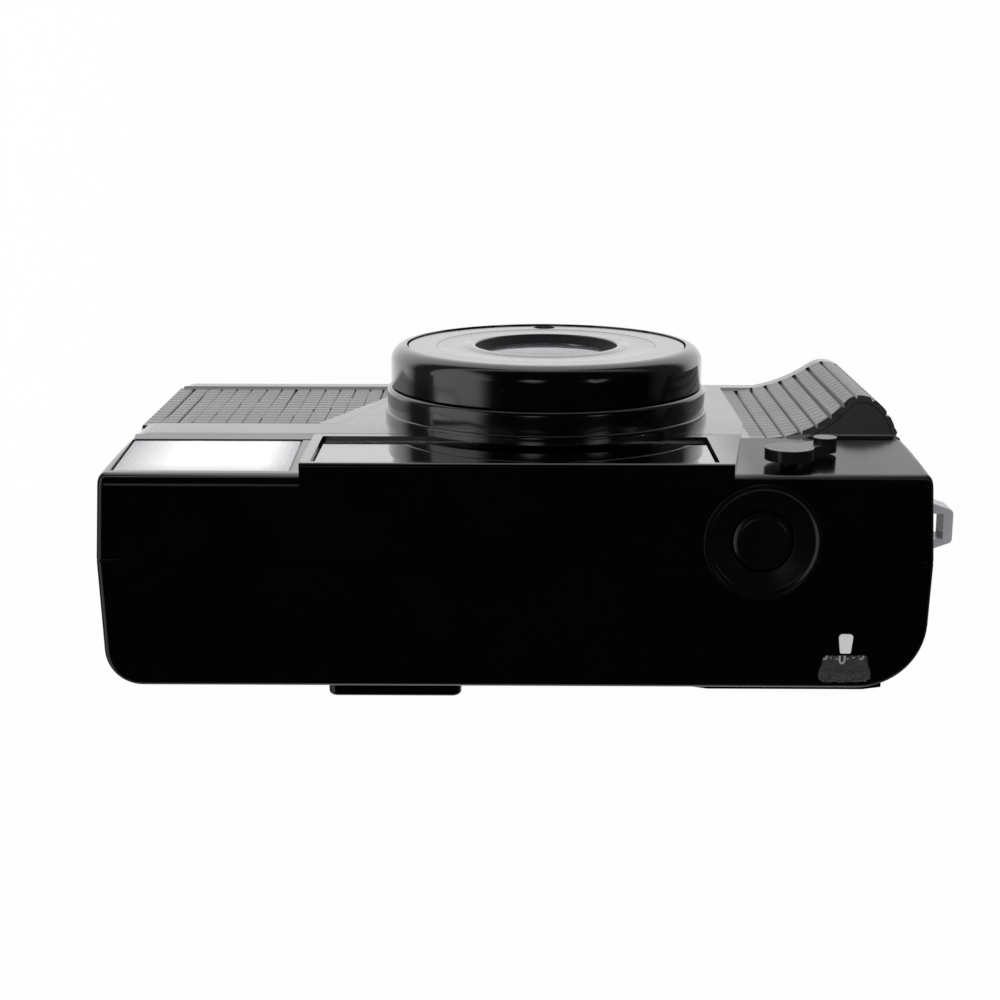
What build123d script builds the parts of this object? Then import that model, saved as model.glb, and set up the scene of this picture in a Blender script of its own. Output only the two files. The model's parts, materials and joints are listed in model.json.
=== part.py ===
from build123d import *

import math
import os

# Compact 35 mm film camera with autofocus, motor wind and built-in flash, in millimetres.
# It stands upright: +Z is up, the lens looks along -Y and the grip is on the -X side.
# While it is built, x = 0 is the middle of the body and y = 0 lies over the tripod socket.
# Each piece is moved at the end, so that the mouth of the tripod socket is the origin.

# Body
body_width = 132.0
body_height = 74.0
body_depth = 36.6          # back plane to the plate round the lens
back_y = 18.0              # back plane, behind the tripod socket

# Clearances
seat_gap = 0.1             # between pieces that are set into each other
running_gap = 0.06         # round pins and shafts
press_gap = 0.02           # gears on their shafts
free_gap = 0.3             # round pieces that travel

# Walls
end_wall = 1.8             # side walls of the covers, and the back door
front_wall = 2.6
top_wall = 2.0
base_wall = 1.8
rear_taper = 0.8           # how far each end draws in from the parting line to the back
front_taper = 0.9          # how far each end draws in from the parting line to the front
seam_depth = 20.8          # back plane to the parting line on the ends
seam_groove = 0.2

# Corner radii of the body seen from above
rear_flash_radius = 6.0
rear_grip_radius = 11.0
front_flash_radius = 3.5
front_grip_radius = 2.6
top_edge_radius = 1.2
block_edge_radius = 0.6
shelf_edge_radius = 2.0

# Film path
gate_width = 36.0
gate_height = 24.0
gate_plate = 0.8
gate_plate_border = 3.5    # gate plate beyond the picture opening at each end
gate_plate_height = 37.0
rail_height = 0.4
rail_width = 1.2
rail_offset = 1.4          # picture opening to the middle of each rail
guide_height = 0.75
guide_width = 0.8
guide_offset = 0.5         # film's edge to the middle of each guide
film_width = 35.0
film_space = 0.1           # between the film's plane and the pressure plate
film_depth = 5.0           # back plane to the plane that the film lies in
perforation_offset = 14.2  # from the film's middle line to the sprocket's toothed rim
cone_width = 17.0          # light opening at the lens end
cone_height = 15.0
light_box_wall = 1.2
light_box_rim = 0.8        # above and below the picture opening
cartridge_margin = 30.5    # flash side end to the cartridge's axis
cartridge_depth = 8.5      # film plane to the cartridge's axis
chamber_radius = 13.0
chamber_floor = 7.4
chamber_wall = 1.5
hub_radius = 6.2
spool_gap = 14.8           # picture opening to the take-up chamber
spool_depth = 8.2          # film plane to the spool's axis
spool_radius = 7.5
spool_wall = 0.8
spool_flange = 1.6
flange_thickness = 1.0
spool_top_gap = 1.0
spool_slots = 3
spool_slot_width = 2.2
spool_slot_length = 22.0
spool_floor = 8.0
take_up_radius = 11.2
take_up_wall = 1.3
sprocket_radius = 6.05
sprocket_teeth = 8
sprocket_rim = 1.6
sprocket_foot = 2.0
tooth_size = (1.2, 1.1, 1.4)
sprocket_bottom = 19.5
sprocket_space = 1.2       # round the sprocket, for its teeth
pivot_radius = 1.0
pivot_length = 1.0
motor_radius = 6.0
motor_length = 30.0
motor_boss = 1.2
motor_boss_radius = 2.0
motor_shaft_radius = 0.75
motor_shaft_depth = 6.0    # how far the shaft goes into the motor

# Gears
gear_module = 0.5
spool_gear_teeth = 36
sprocket_gear_teeth = 32
idler_large_teeth = 38
idler_small_teeth = 14
pinion_teeth = 12
rewind_gear_teeth = 26
gear_width = 1.6
gear_gap = 0.4             # between gears that run above each other
gear_lift = 0.3            # above the deck
idler_angle = -45.0        # from the spool's axis to the idler's axis
spool_shaft_radius = 2.6
sprocket_shaft_radius = 1.8
idler_pin_radius = 1.1
idler_hub_radius = 2.6
fork_shaft_radius = 1.9
fork_radius = 2.6
fork_length = 4.0          # how far the fork reaches down from the roof
fork_blade = 1.2
fork_blade_offset = 1.7
fork_thickness = 1.6
fork_neck = 0.8

# Batteries
battery_radius = 7.0
battery_length = 49.0
battery_edge = 0.6
battery_nub_radius = 2.7
battery_nub_length = 1.0
battery_z = 9.4
battery_pitch_gap = 0.2    # between the two cells
battery_gap = 0.15         # round each cell
battery_middle_x = -5.0    # middle of the cells
holder_wall = 1.4
holder_front_wall = 0.7
holder_roof = 0.85
holder_step = 3.1          # above the cells' axis, where the rear cell's bulge ends
holder_lift = 0.3          # above the battery cover
holder_rear_gap = 0.2
contact_space = 1.2        # between a cell's end and the holder's end wall
contact_thickness = 0.3
contact_half_width = 4.0
contact_half_height = 4.5
contact_button_radius = 1.6
cover_thickness = 1.8
cover_side = 0.8           # battery cover beyond the battery space
cover_rear = 1.0           # battery cover beyond the rear cell
cover_gap = 0.2
tongue_reach = 1.0
tongue_low = 0.5
tongue_high = 1.3
cover_grips = 6
cover_grip_pitch = 2.0
cover_grip_start = 5.0
cover_grip_half = 9.0
cover_grip_width = 0.8
cover_grip_depth = 0.5

# Chassis and electrics
chassis_gap = 0.4          # all round, inside the covers
chassis_low = 6.0
chassis_front = 9.9        # plate round the lens to the front of the chassis
deck_thickness = 2.0
board_gap = 1.2            # between the gears and the board
board_gap_front = 0.2      # front of the chassis to the board
board_thickness = 1.2
board_low_reach = 38.5     # from the lens axis to the board's grip side end
board_high_reach = 13.5
board_rear_depth = 11.0    # back plane to the board's rear edge
board_post_radius = 1.6
board_post_reaches = [-22.5, 9.5]
board_post_setback = 2.7   # behind the front of the chassis
chip_boxes = [(22.0, 31.0, 3.5, 11.5, 1.4), (36.0, 41.0, 4.5, 11.5, 1.0), (15.0, 17.6, 9.5, 12.5, 1.2)]
switch_height = 2.4
switch_base = 1.2
switch_half_width = 3.0
switch_half_depth = 2.2
switch_pin_radius = 1.1
capacitor_radius = 6.7
capacitor_edge = 0.7
capacitor_height = 42.2
capacitor_setback = 14.1   # plate to the capacitor's axis
capacitor_gap = 0.3        # to the chassis
pocket_wall = 1.3          # light box to the pockets in the chassis front
pocket_chamber_wall = 2.0  # cartridge chamber to its pocket
pocket_sprocket_wall = 1.7
pocket_rear_wall = 3.8
pocket_low_wall = 3.0      # battery holder to the pockets
pocket_high_wall = 2.0

# Lens
lens_x = -5.5
lens_z = 31.5
base_ring_radius = 28.0
base_ring_length = 5.4
speed_ring_radius = 27.3
speed_ring_bore = 24.5
speed_ring_gap = 0.1
ring_rim = 3.0             # depth of the rim that the turning ring runs on
lens_length = 12.6         # plate to the lens face
shoulder_radius = 2.6
face_radius = 24.2
face_groove = 0.25
face_thickness = 2.2
face_hole_radius = 12.8
cone_end_radius = 9.8
cone_length = 5.3
funnel_wall = 1.0
face_step_radius = 19.2
face_inner_step_radius = 14.5
face_step = 0.35
sensor_radius = 1.9
sensor_offset = 21.6       # from the lens axis, towards the base
sensor_setback = 0.3
sensor_edge = 0.5
housing_radius = 21.5
neck_radius = 13.2
lens_hole_radius = 13.6
cell_radius = 10.6
cell_length = 6.0
cell_setback = 7.75        # lens face to the front of the focusing cell
cell_seat = 2.4            # glass seat to the rear of the focusing cell
cell_lip = 1.6
focus_travel = 1.2
focus_stop_gap = 0.5       # cell to the end of its bore when it is run out
front_glass_radius = 8.4
glass_rim = 1.6
glass_bulge = 1.2
rear_glass_radius = 7.7
rear_seat_depth = 3.2
stop_radius = 3.6
stop_thickness = 0.8
front_stop_radius = 6.5
blade_thickness = 0.3
blade_gap = 0.2            # between the two blades
blade_radius = 3.9
blade_lap = 0.3
blade_arm = 2.4
blade_hub_radius = 1.4
blade_space = 1.6
blade_space_radius = 12.2
blade_pin_radius = 0.6
blade_pin_offset = 8.0

# Heights and joints of the covers
base_cover_height = 4.0
front_cover_over_lens = 5.9
door_gap = 0.3             # above and below the back door
deck_drop = 16.5           # top of the body to the deck of the chassis
door_drop = 17.3           # top of the body to the top of the back door
base_edge = 1.0            # height of the step round the base
base_inset = 0.6

# Front levels
shelf_drop = 0.4           # the flash and lever zones stand back from the plate
shelf_lean = 1.6           # and lean back this much more at the top
block_flash_margin = 32.4  # flash side end to the edge of the middle block
block_grip_margin = 31.8   # grip side end to the edge of the middle block at the top
block_grip_slant = 3.6     # how far that edge runs out on its way down
front_setback = 4.0        # plate to the inside of the top cover's front wall
thumb_rest = 0.4           # raised patch on the back, above the door
thumb_rest_start = 7.3     # from the grip side end
thumb_rest_length = 30.7
thumb_rest_slope = 3.0     # over which each end rises

# Ribbed panels
panel_drop = 0.4
panel_thickness = 0.9
rib_pitch = 2.9
rib_groove = 0.5
panel_under_top = 9.6      # top of the front cover to the top of the flash side panel
panel_low_margin = 47.0    # flash side end to the panel's edge at the base
panel_slant = 11.2
grip_panel_under_top = 9.5 # top of the front cover to the foot of the grip's sloping end
grip_panel_margin = 26.6

# Grip
grip_start_margin = 24.5   # grip side end to where the grip begins to rise from its panel
ridge_margin = 6.7
ridge_height = 0.5         # centre of the ridge, in front of the plate
ridge_radius = 4.7
flank_depth = 32.5         # back plane to where the grip's flank meets the end wall
grip_wall = 2.0

# Controls on the top
button_margin = 27.0       # grip side end to the release button
button_depth = 24.1        # from the back plane
button_radius = 4.7
button_ring_radius = 9.45
button_ring_depth = 1.2
button_ring_rim = 0.5
button_ring_proud = 0.1
button_ring_floor = 0.4
button_travel = 1.2
button_sink = 0.3
button_flange = 0.8
button_flange_reach = 0.9
button_edge = 0.5
button_dish = 0.3
button_stem_radius = 1.5
counter_margin = 13.4
counter_depth = 10.0
counter_radius = 7.9
counter_thickness = 0.8
counter_teeth = 40
counter_notch = (0.7, 0.4, 4.0)
counter_gap = 0.9          # under the top cover's inside
counter_hub_radius = 2.2
counter_pin_radius = 0.9
counter_pin_length = 2.4
counter_window_width = 9.0
counter_window_length = 4.4
counter_window_depth = 3.4
counter_window_narrow = 0.75  # its front edge's share of its width
counter_window_sink = 0.1
counter_window_thickness = 1.1
index_depth = 7.6
index_length = 3.2
index_width = 2.4
index_narrow = 0.7         # its rear end's share of its width
index_inlay = 0.3
index_proud = 0.05

# Timer lever
timer_margin = 22.4
timer_drop = 7.4
timer_hub_radius = 3.9
timer_knob_across = -6.6
timer_knob_up = -5.8
timer_knob_radius = 1.9
timer_knob_proud = 0.5
timer_thickness = 1.9
timer_arm_half = 2.2
timer_arm_sink = 0.3
timer_lift = 0.2
timer_shaft_radius = 1.3
timer_disc_radius = 2.5
timer_disc = 0.8

# Windows
strip_flash_margin = 1.6   # long window to the flash side edge of the middle block
strip_grip_margin = 2.2
strip_rise = 1.4           # above the joint with the front cover
strip_top_drop = 1.6
strip_recess = 0.7
strip_thickness = 1.4
strip_ledge = 1.5
strip_edge = 0.3
mask_thickness = 0.7
mask_rise = 4.6            # mask's lower edge above the long window's
mask_gap = 0.2
finder_reach = 16.0        # lens axis to the finder's near side
finder_width = 17.5
finder_height = 12.0
finder_wall = 1.2
finder_mask = 1.5
finder_rear_depth = 4.2    # back plane to the rear of the finder
finder_glass = 1.8
finder_glass_setback = 0.6
window_edge = 0.5
eyepiece_side = 2.0        # eyepiece frame beyond the finder at each side
eyepiece_lift = 1.1        # above the finder's floor
eyepiece_rise = 1.5        # above the finder's roof
eyepiece_proud = 2.6
eyepiece_rim = 2.6
eyepiece_corner = 1.6
eyepiece_edge = 0.7
eyepiece_sink = 0.8        # eyepiece glass behind the back plane
eyepiece_hole_depth = 4.0

# Focusing module
af_low_reach = 24.5        # lens axis to the module's grip side end
af_high_reach = 7.5
af_low_drop = 19.0
af_high_drop = 8.0
af_drop = 13.0
af_lens_half = 3.6
af_lens_thickness = 1.5
af_lens_setback = 0.2
af_lens_reaches = [-16.5, -0.5]
af_hole_depth = 1.8

# Flash
flash_margin = 2.4         # flash side end to the flash window
flash_width = 28.4
flash_rise = 2.0
flash_top_drop = 2.8
flash_thickness = 1.6
flash_sink = 0.15
flash_edge = 0.3
reflector_low_margin = 2.3 # flash window's ends to the reflector's
reflector_high_margin = 2.1
reflector_drop = 10.4
reflector_half_height = 6.8
reflector_depth = 7.6
reflector_wall = 0.6
reflector_steps = 8
tube_radius = 1.5
tube_setback = 4.3         # reflector's mouth to the tube's axis
tube_cap = 1.6
tube_cap_rim = 0.3
tube_end_gap = 0.7

# Strap lug
lug_rear_depth = 21.2
lug_width = 8.0
lug_low_drop = 13.0
lug_height = 8.0
lug_reach = 4.0
lug_bar = 1.5
lug_rim = 1.9
lug_slope = 1.4
lug_corner = 0.8
lug_root = 0.3             # root's shoulder outside the end wall
lug_hold = 1.0             # root's length inside the end wall
lug_step = 1.5
lug_root_wall = 0.5

# Back door
hinge_depth = 9.0          # back plane to the hinge's axis
hinge_out = 0.3            # outside the end wall
hinge_radius = 1.6
hinge_pin_radius = 0.8
hinge_low = 7.0
hinge_high_drop = 0.8      # front cover's top to the hinge's end
knuckle_low = 15.0         # the door's own knuckle lies between these heights
root_knuckle_length = 8.2  # upper knuckle on the body
hinge_end_gap = 0.3
hinge_web = 2.6
door_seam_gap = 0.2
door_lip = 1.2
latch_depth = 13.4
latch_z = 33.0
latch_length = 12.0
latch_width = 5.0
latch_travel = 3.0
latch_recess = 0.9
latch_ribs = 5
latch_rib_pitch = 1.8
latch_rib_depth = 0.35
latch_stem_half = 0.9
latch_stem_height = 3.8
latch_hook = 0.5
latch_hook_front = 2.2
latch_hook_rear = 2.6
latch_hook_low = 4.4
latch_hook_high = 3.4
latch_hold = 0.2           # how far the stem runs into the plate and the hook
tongue_thickness = 1.4
tongue_height = 6.0
tongue_gap = 0.6
tongue_length = 1.0
tongue_root = 2.0
tongue_notch_start = 0.6
tongue_notch_end = 2.2
tongue_notch_low = 2.0
tongue_notch_high = 4.0
plate_thickness = 1.2
plate_width = 44.0
plate_border = 0.6
plate_corner = 2.0
plate_slot_length = 18.0
plate_slot_width = 4.4
plate_slot_setback = 7.0
spring_length = 34.0
spring_leaf = 0.25
spring_width = 4.0
spring_offset = 12.5
spring_foot = 1.0
spring_gap = 0.05

# Base
screw_head_radius = 1.5
screw_head_height = 1.1
screw_sink = 0.1
screw_radius = 0.8
screw_bite = 1.4           # how far a screw goes into the chassis
screw_slot = 0.5
screw_slot_depth = 0.5
screw_flash_inset = 3.5    # ends of the chassis to the screws
screw_grip_inset = 3.0
screw_front_inset = 3.2
screw_rear_inset = 2.3
screw_holder_gap = 3.4     # battery holder to the third screw
rewind_button_margin = 10.0
rewind_button_depth = 11.0
rewind_button_radius = 1.5
rewind_button_sink = 0.3
rewind_flange = 1.0
rewind_flange_reach = 1.0
rewind_flange_gap = 0.2

# Tripod socket
socket_reach = 38.5        # lens axis to the tripod socket
socket_radius = 3.175
bush_radius = 6.5
bush_step = 1.5

# Depths, from the film forwards
film_y = back_y - film_depth
chassis_rear_y = film_y - rail_height - gate_plate
battery_rear_y = chassis_rear_y - battery_radius
battery_front_y = battery_rear_y - 2 * battery_radius - battery_pitch_gap
holder_front_y = battery_front_y - battery_radius - battery_gap - holder_front_wall
holder_rear_y = battery_rear_y + battery_radius + battery_gap + holder_front_wall
front_y = back_y - body_depth
seam_y = back_y - seam_depth
shelf_y = front_y + shelf_drop
shelf_top_y = shelf_y + shelf_lean
panel_y = front_y + panel_drop
panel_seat_y = panel_y + panel_thickness
inner_front_y = front_y + front_wall
top_inner_y = front_y + front_setback
mask_rear_y = top_inner_y + mask_thickness
chassis_front_y = front_y + chassis_front
lens_front_y = front_y - lens_length
face_front_y = lens_front_y + face_groove
face_rear_y = face_front_y + face_thickness
cell_front_y = face_front_y + cell_setback
cell_rear_y = cell_front_y + cell_length
funnel_space_y = cell_front_y - focus_travel - focus_stop_gap
rear_stop_y = chassis_front_y - rear_seat_depth
blade_rear_y = rear_stop_y - stop_thickness
blade_front_y = blade_rear_y - blade_space
blade_slack = (blade_space - 2 * blade_thickness - blade_gap) / 2
blade_low_y = {1: blade_front_y + blade_slack,
               -1: blade_front_y + blade_slack + blade_thickness + blade_gap}
cartridge_y = film_y - cartridge_depth
spool_y = film_y - spool_depth
sprocket_y = film_y - sprocket_radius
button_y = back_y - button_depth
counter_y = back_y - counter_depth
finder_rear_y = back_y - finder_rear_depth
board_rear_y = back_y - board_rear_depth
capacitor_y = front_y + capacitor_setback
tube_y = top_inner_y + seat_gap + tube_setback
lug_rear_y = back_y - lug_rear_depth
lug_front_y = lug_rear_y - lug_width
hinge_y = back_y - hinge_depth
door_seam_y = hinge_y - door_seam_gap
door_inner_y = back_y - end_wall
latch_y = back_y - latch_depth
plate_front_y = film_y + film_space
cover_rear_y = battery_rear_y + battery_radius + cover_rear
rewind_button_y = back_y - rewind_button_depth

# Widths; the body's middle is x = 0
half_width = body_width / 2
cartridge_x = half_width - cartridge_margin
spool_x = lens_x - gate_width / 2 - spool_gap - take_up_radius
chassis_low_x = spool_x - take_up_radius - take_up_wall
chassis_high_x = cartridge_x + chamber_radius + chamber_wall
capacitor_x = chassis_high_x + capacitor_gap + capacitor_radius
bay_low_x = battery_middle_x - (battery_length + battery_nub_length) / 2 - contact_space
bay_high_x = battery_middle_x + (battery_length + battery_nub_length) / 2 + contact_space
holder_low_x = bay_low_x - holder_wall
holder_high_x = bay_high_x + holder_wall
cover_low_x = bay_low_x - cover_side
cover_high_x = bay_high_x + cover_side
train_length = gear_module * (spool_gear_teeth + sprocket_gear_teeth) / 2
sprocket_x = spool_x + math.sqrt(train_length ** 2 - (sprocket_y - spool_y) ** 2)
idler_length = gear_module * (spool_gear_teeth + idler_small_teeth) / 2
idler_x = spool_x + idler_length * math.cos(math.radians(idler_angle))
idler_y = spool_y + idler_length * math.sin(math.radians(idler_angle))
gate_plate_length = gate_width + 2 * gate_plate_border
rear_bore_radius = rear_glass_radius + seat_gap
light_box_half = gate_width / 2 + light_box_wall
light_box_low_x = lens_x - light_box_half
light_box_high_x = lens_x + light_box_half
sprocket_hole = sprocket_radius + sprocket_space
af_low_x = lens_x - af_low_reach
af_high_x = lens_x + af_high_reach
board_low_x = lens_x - board_low_reach
board_high_x = lens_x + board_high_reach
block_flash_x = half_width - block_flash_margin
block_grip_x = -half_width + block_grip_margin
block_grip_low_x = block_grip_x - block_grip_slant
thumb_rest_low_x = -half_width + thumb_rest_start
thumb_rest_high_x = thumb_rest_low_x + thumb_rest_length
panel_low_x = half_width - panel_low_margin
panel_high_x = panel_low_x + panel_slant
grip_panel_x = -half_width + grip_panel_margin
grip_start_x = -half_width + grip_start_margin
ridge_x = -half_width + ridge_margin
button_x = -half_width + button_margin
counter_x = -half_width + counter_margin
timer_x = -half_width + timer_margin
timer_knob_x = timer_x + timer_knob_across
strip_high_x = block_flash_x - strip_flash_margin
strip_low_x = block_grip_x + strip_grip_margin
finder_low_x = lens_x + finder_reach
finder_high_x = finder_low_x + finder_width
eyepiece_low_x = finder_low_x - eyepiece_side
eyepiece_high_x = finder_high_x + eyepiece_side
flash_high_x = half_width - flash_margin
flash_low_x = flash_high_x - flash_width
reflector_low_x = flash_low_x + reflector_low_margin
reflector_high_x = flash_high_x - reflector_high_margin
lug_foot_x = -half_width + end_wall + lug_hold
hinge_x = -half_width - hinge_out
latch_face_x = half_width - rear_taper * (latch_y - seam_y) / (back_y - seam_y)
rewind_button_x = half_width - rewind_button_margin
socket_x = lens_x - socket_reach

# Heights, from the base up
holder_top = battery_z + battery_radius + battery_gap + holder_roof
deck_top = body_height - deck_drop
chamber_top = deck_top - deck_thickness
gear_z = deck_top + gear_lift
upper_gear_z = gear_z + gear_width + gear_gap
board_z = upper_gear_z + gear_width + board_gap
switch_top = board_z + board_thickness + switch_height
front_cover_top = lens_z + lens_hole_radius + front_cover_over_lens
door_bottom = base_cover_height + door_gap
door_top = body_height - door_drop
strip_bottom = front_cover_top + strip_rise
strip_top = body_height - strip_top_drop
finder_bottom = deck_top
finder_top = finder_bottom + finder_height
eyepiece_bottom = deck_top + eyepiece_lift
eyepiece_top = finder_top + eyepiece_rise
flash_bottom = front_cover_top + flash_rise
flash_top = body_height - flash_top_drop
reflector_z = body_height - reflector_drop
panel_top = front_cover_top - panel_under_top
grip_panel_top = front_cover_top - grip_panel_under_top
timer_z = body_height - timer_drop
timer_knob_z = timer_z + timer_knob_up
af_bottom = body_height - af_low_drop
af_top = body_height - af_high_drop
af_z = body_height - af_drop
lug_bottom = body_height - lug_low_drop
lug_top = lug_bottom + lug_height
hinge_high = front_cover_top - hinge_high_drop
knuckle_high = hinge_high - root_knuckle_length
capacitor_top = base_wall + capacitor_height
motor_top = spool_floor + motor_length
button_top = body_height - button_sink
light_box_z_half = gate_height / 2 + light_box_rim

base_screw_places = [(chassis_high_x - screw_flash_inset, chassis_front_y + screw_front_inset),
                     (chassis_low_x + screw_grip_inset, chassis_front_y + screw_front_inset),
                     (holder_low_x - screw_holder_gap, chassis_rear_y - screw_rear_inset)]
board_posts = [(lens_x + reach, chassis_front_y + board_post_setback) for reach in board_post_reaches]
af_places = [lens_x + reach for reach in af_lens_reaches]
front_pockets = [(spool_x + take_up_radius + take_up_wall, light_box_low_x - pocket_wall,
                  sprocket_y - sprocket_hole - pocket_sprocket_wall),
                 (light_box_high_x + pocket_wall, cartridge_x - chamber_radius - pocket_chamber_wall,
                  chassis_rear_y - pocket_rear_wall)]


def block(x_pair, y_pair, z_pair):
    """A rectangular block between two values on each axis."""
    size = [abs(b - a) for a, b in (x_pair, y_pair, z_pair)]
    middle = [(a + b) / 2 for a, b in (x_pair, y_pair, z_pair)]
    return Pos(*middle) * Box(*size)


def post(x, y, z_pair, radius):
    """A round post that stands along Z."""
    return Pos(x, y, sum(z_pair) / 2) * Cylinder(radius, abs(z_pair[1] - z_pair[0]))


def barrel(x, z, y_pair, radius):
    """A round piece that lies along Y."""
    return Pos(x, sum(y_pair) / 2, z) * Rot(X=90) * Cylinder(radius, abs(y_pair[1] - y_pair[0]))


def rod(y, z, x_pair, radius):
    """A round piece that lies along X."""
    return Pos(sum(x_pair) / 2, y, z) * Rot(Y=90) * Cylinder(radius, abs(x_pair[1] - x_pair[0]))


def outline(corners):
    """A face from (x, y, corner radius) points."""
    face = make_face(Polyline(*[(x, y) for x, y, radius in corners], close=True))
    for x, y, radius in corners:
        if radius > 0:
            face = fillet(face.vertices().sort_by_distance((x, y, 0))[0], radius)
    return face


def raised(face, z_pair):
    """A face in plan, extruded from one height to another."""
    return extrude(Pos(0, 0, z_pair[0]) * face, z_pair[1] - z_pair[0], dir=(0, 0, 1))


def facing(face, y_pair):
    """A face drawn as (x, z), extruded from one depth to another."""
    plane = Plane((0, y_pair[0], 0), x_dir=(1, 0, 0), z_dir=(0, -1, 0))
    return extrude(plane * face, y_pair[1] - y_pair[0], dir=(0, 1, 0))


def profiled(face, x_pair):
    """A face drawn as (y, z), extruded from one place along X to another."""
    plane = Plane((x_pair[0], 0, 0), x_dir=(0, 1, 0), z_dir=(1, 0, 0))
    return extrude(plane * face, x_pair[1] - x_pair[0], dir=(1, 0, 0))


def polygon(*points):
    """A face with straight edges."""
    return make_face(Polyline(*points, close=True))


def turned(face):
    """A face drawn as (radius, y), turned about the lens axis."""
    plane = Plane((lens_x, 0, lens_z), x_dir=(1, 0, 0), z_dir=(0, 0, 1))
    return revolve(plane * face, Axis((lens_x, 0, lens_z), (0, 1, 0)))


def upright(face, x, y):
    """A face drawn as (radius, z), turned about an axis that stands along Z."""
    plane = Plane((x, y, 0), x_dir=(1, 0, 0), z_dir=(0, -1, 0))
    return revolve(plane * face, Axis((x, y, 0), (0, 0, 1)))


def plan(inset=0.0):
    """The body's outline seen from above, drawn in by an inset."""
    rear_x = half_width - rear_taper - inset
    side_x = half_width - inset
    front_x = half_width - front_taper - inset

    def eased(radius):
        return max(radius - inset, 0.6)

    return outline([
        (rear_x, back_y - inset, eased(rear_flash_radius)),
        (side_x, seam_y, 0),
        (front_x, front_y + inset, eased(front_flash_radius)),
        (-front_x, front_y + inset, eased(front_grip_radius)),
        (-side_x, seam_y, 0),
        (-rear_x, back_y - inset, eased(rear_grip_radius)),
    ])


def gear(teeth, z, phase, bore):
    """A spur gear about the Z axis, with a tooth at the phase angle in degrees."""
    pitch_radius = gear_module * teeth / 2
    root = pitch_radius - 1.15 * gear_module
    tip = pitch_radius + 0.75 * gear_module
    step = 360.0 / teeth
    points = []
    for tooth in range(teeth):
        for radius, share in ((root, -0.27), (tip, -0.11), (tip, 0.11), (root, 0.27)):
            angle = math.radians(phase + (tooth + share) * step)
            points.append((radius * math.cos(angle), radius * math.sin(angle)))
    return raised(polygon(*points), (z, z + gear_width)) - post(0, 0, (z - 1, z + gear_width + 1), bore)


def grip_points(inset):
    """Start, middles, joins and end of the grip's outer line in plan, drawn in by an inset."""
    ridge = Vector(ridge_x, front_y - ridge_height)
    rise = panel_y - ridge.Y
    run = grip_start_x - ridge_x
    hollow_radius = (run ** 2 + rise ** 2 - ridge_radius ** 2) / (2 * (ridge_radius + rise))
    hollow = Vector(grip_start_x, panel_y - hollow_radius)
    across = (ridge - hollow).normalized()
    flank_y = back_y - flank_depth
    flank_x = -(half_width - front_taper * (seam_y - flank_y) / (seam_y - front_y))
    to_flank = Vector(flank_x, flank_y) - ridge
    turn = math.acos(ridge_radius / to_flank.length)
    outward = to_flank.normalized().rotate(Axis.Z, math.degrees(turn))
    along = outward.rotate(Axis.Z, -90)
    outer = hollow_radius + inset
    inner = ridge_radius - inset
    start = Vector(grip_start_x, panel_y + inset)
    leave = ridge + outward * inner
    return [
        start,
        hollow + (Vector(0, 1) + across).normalized() * outer,
        hollow + across * outer,
        ridge + (outward - across).normalized() * inner,
        leave,
        leave + along * ((flank_y - leave.Y) / along.Y),
    ]


def grip_region(inset):
    """Everything in front of the grip's outer line in plan."""
    start, hollow_middle, join, ridge_middle, leave, end = grip_points(inset)
    far = 3 * half_width
    return make_face(Curve() + [
        ThreePointArc(start, hollow_middle, join),
        ThreePointArc(join, ridge_middle, leave),
        Polyline(leave, end, Vector(-far, end.Y), Vector(-far, -far), Vector(grip_panel_x, -far),
                 Vector(grip_panel_x, panel_y + inset), start),
    ])


def groove(point, along, inward):
    """The plan of one V groove, at a point on a panel's face."""
    lip = point - inward * (rib_groove / 4)
    corners = [lip - along * rib_groove, lip + along * rib_groove, point + inward * rib_groove]
    return polygon(*[(corner.X, corner.Y) for corner in corners])


def body_shape(z_pair, inset=0.0):
    """The body's outline between two heights."""
    return raised(plan(inset), z_pair)


def grip_shape(z_pair, inset):
    """The grip's bulge in front of the body, drawn in by an inset."""
    flank_y = back_y - flank_depth
    bulge = block((-half_width - 1, grip_panel_x - inset), (lens_front_y, flank_y), z_pair)
    return bulge - raised(grip_region(inset), z_pair)


# Covers

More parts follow.
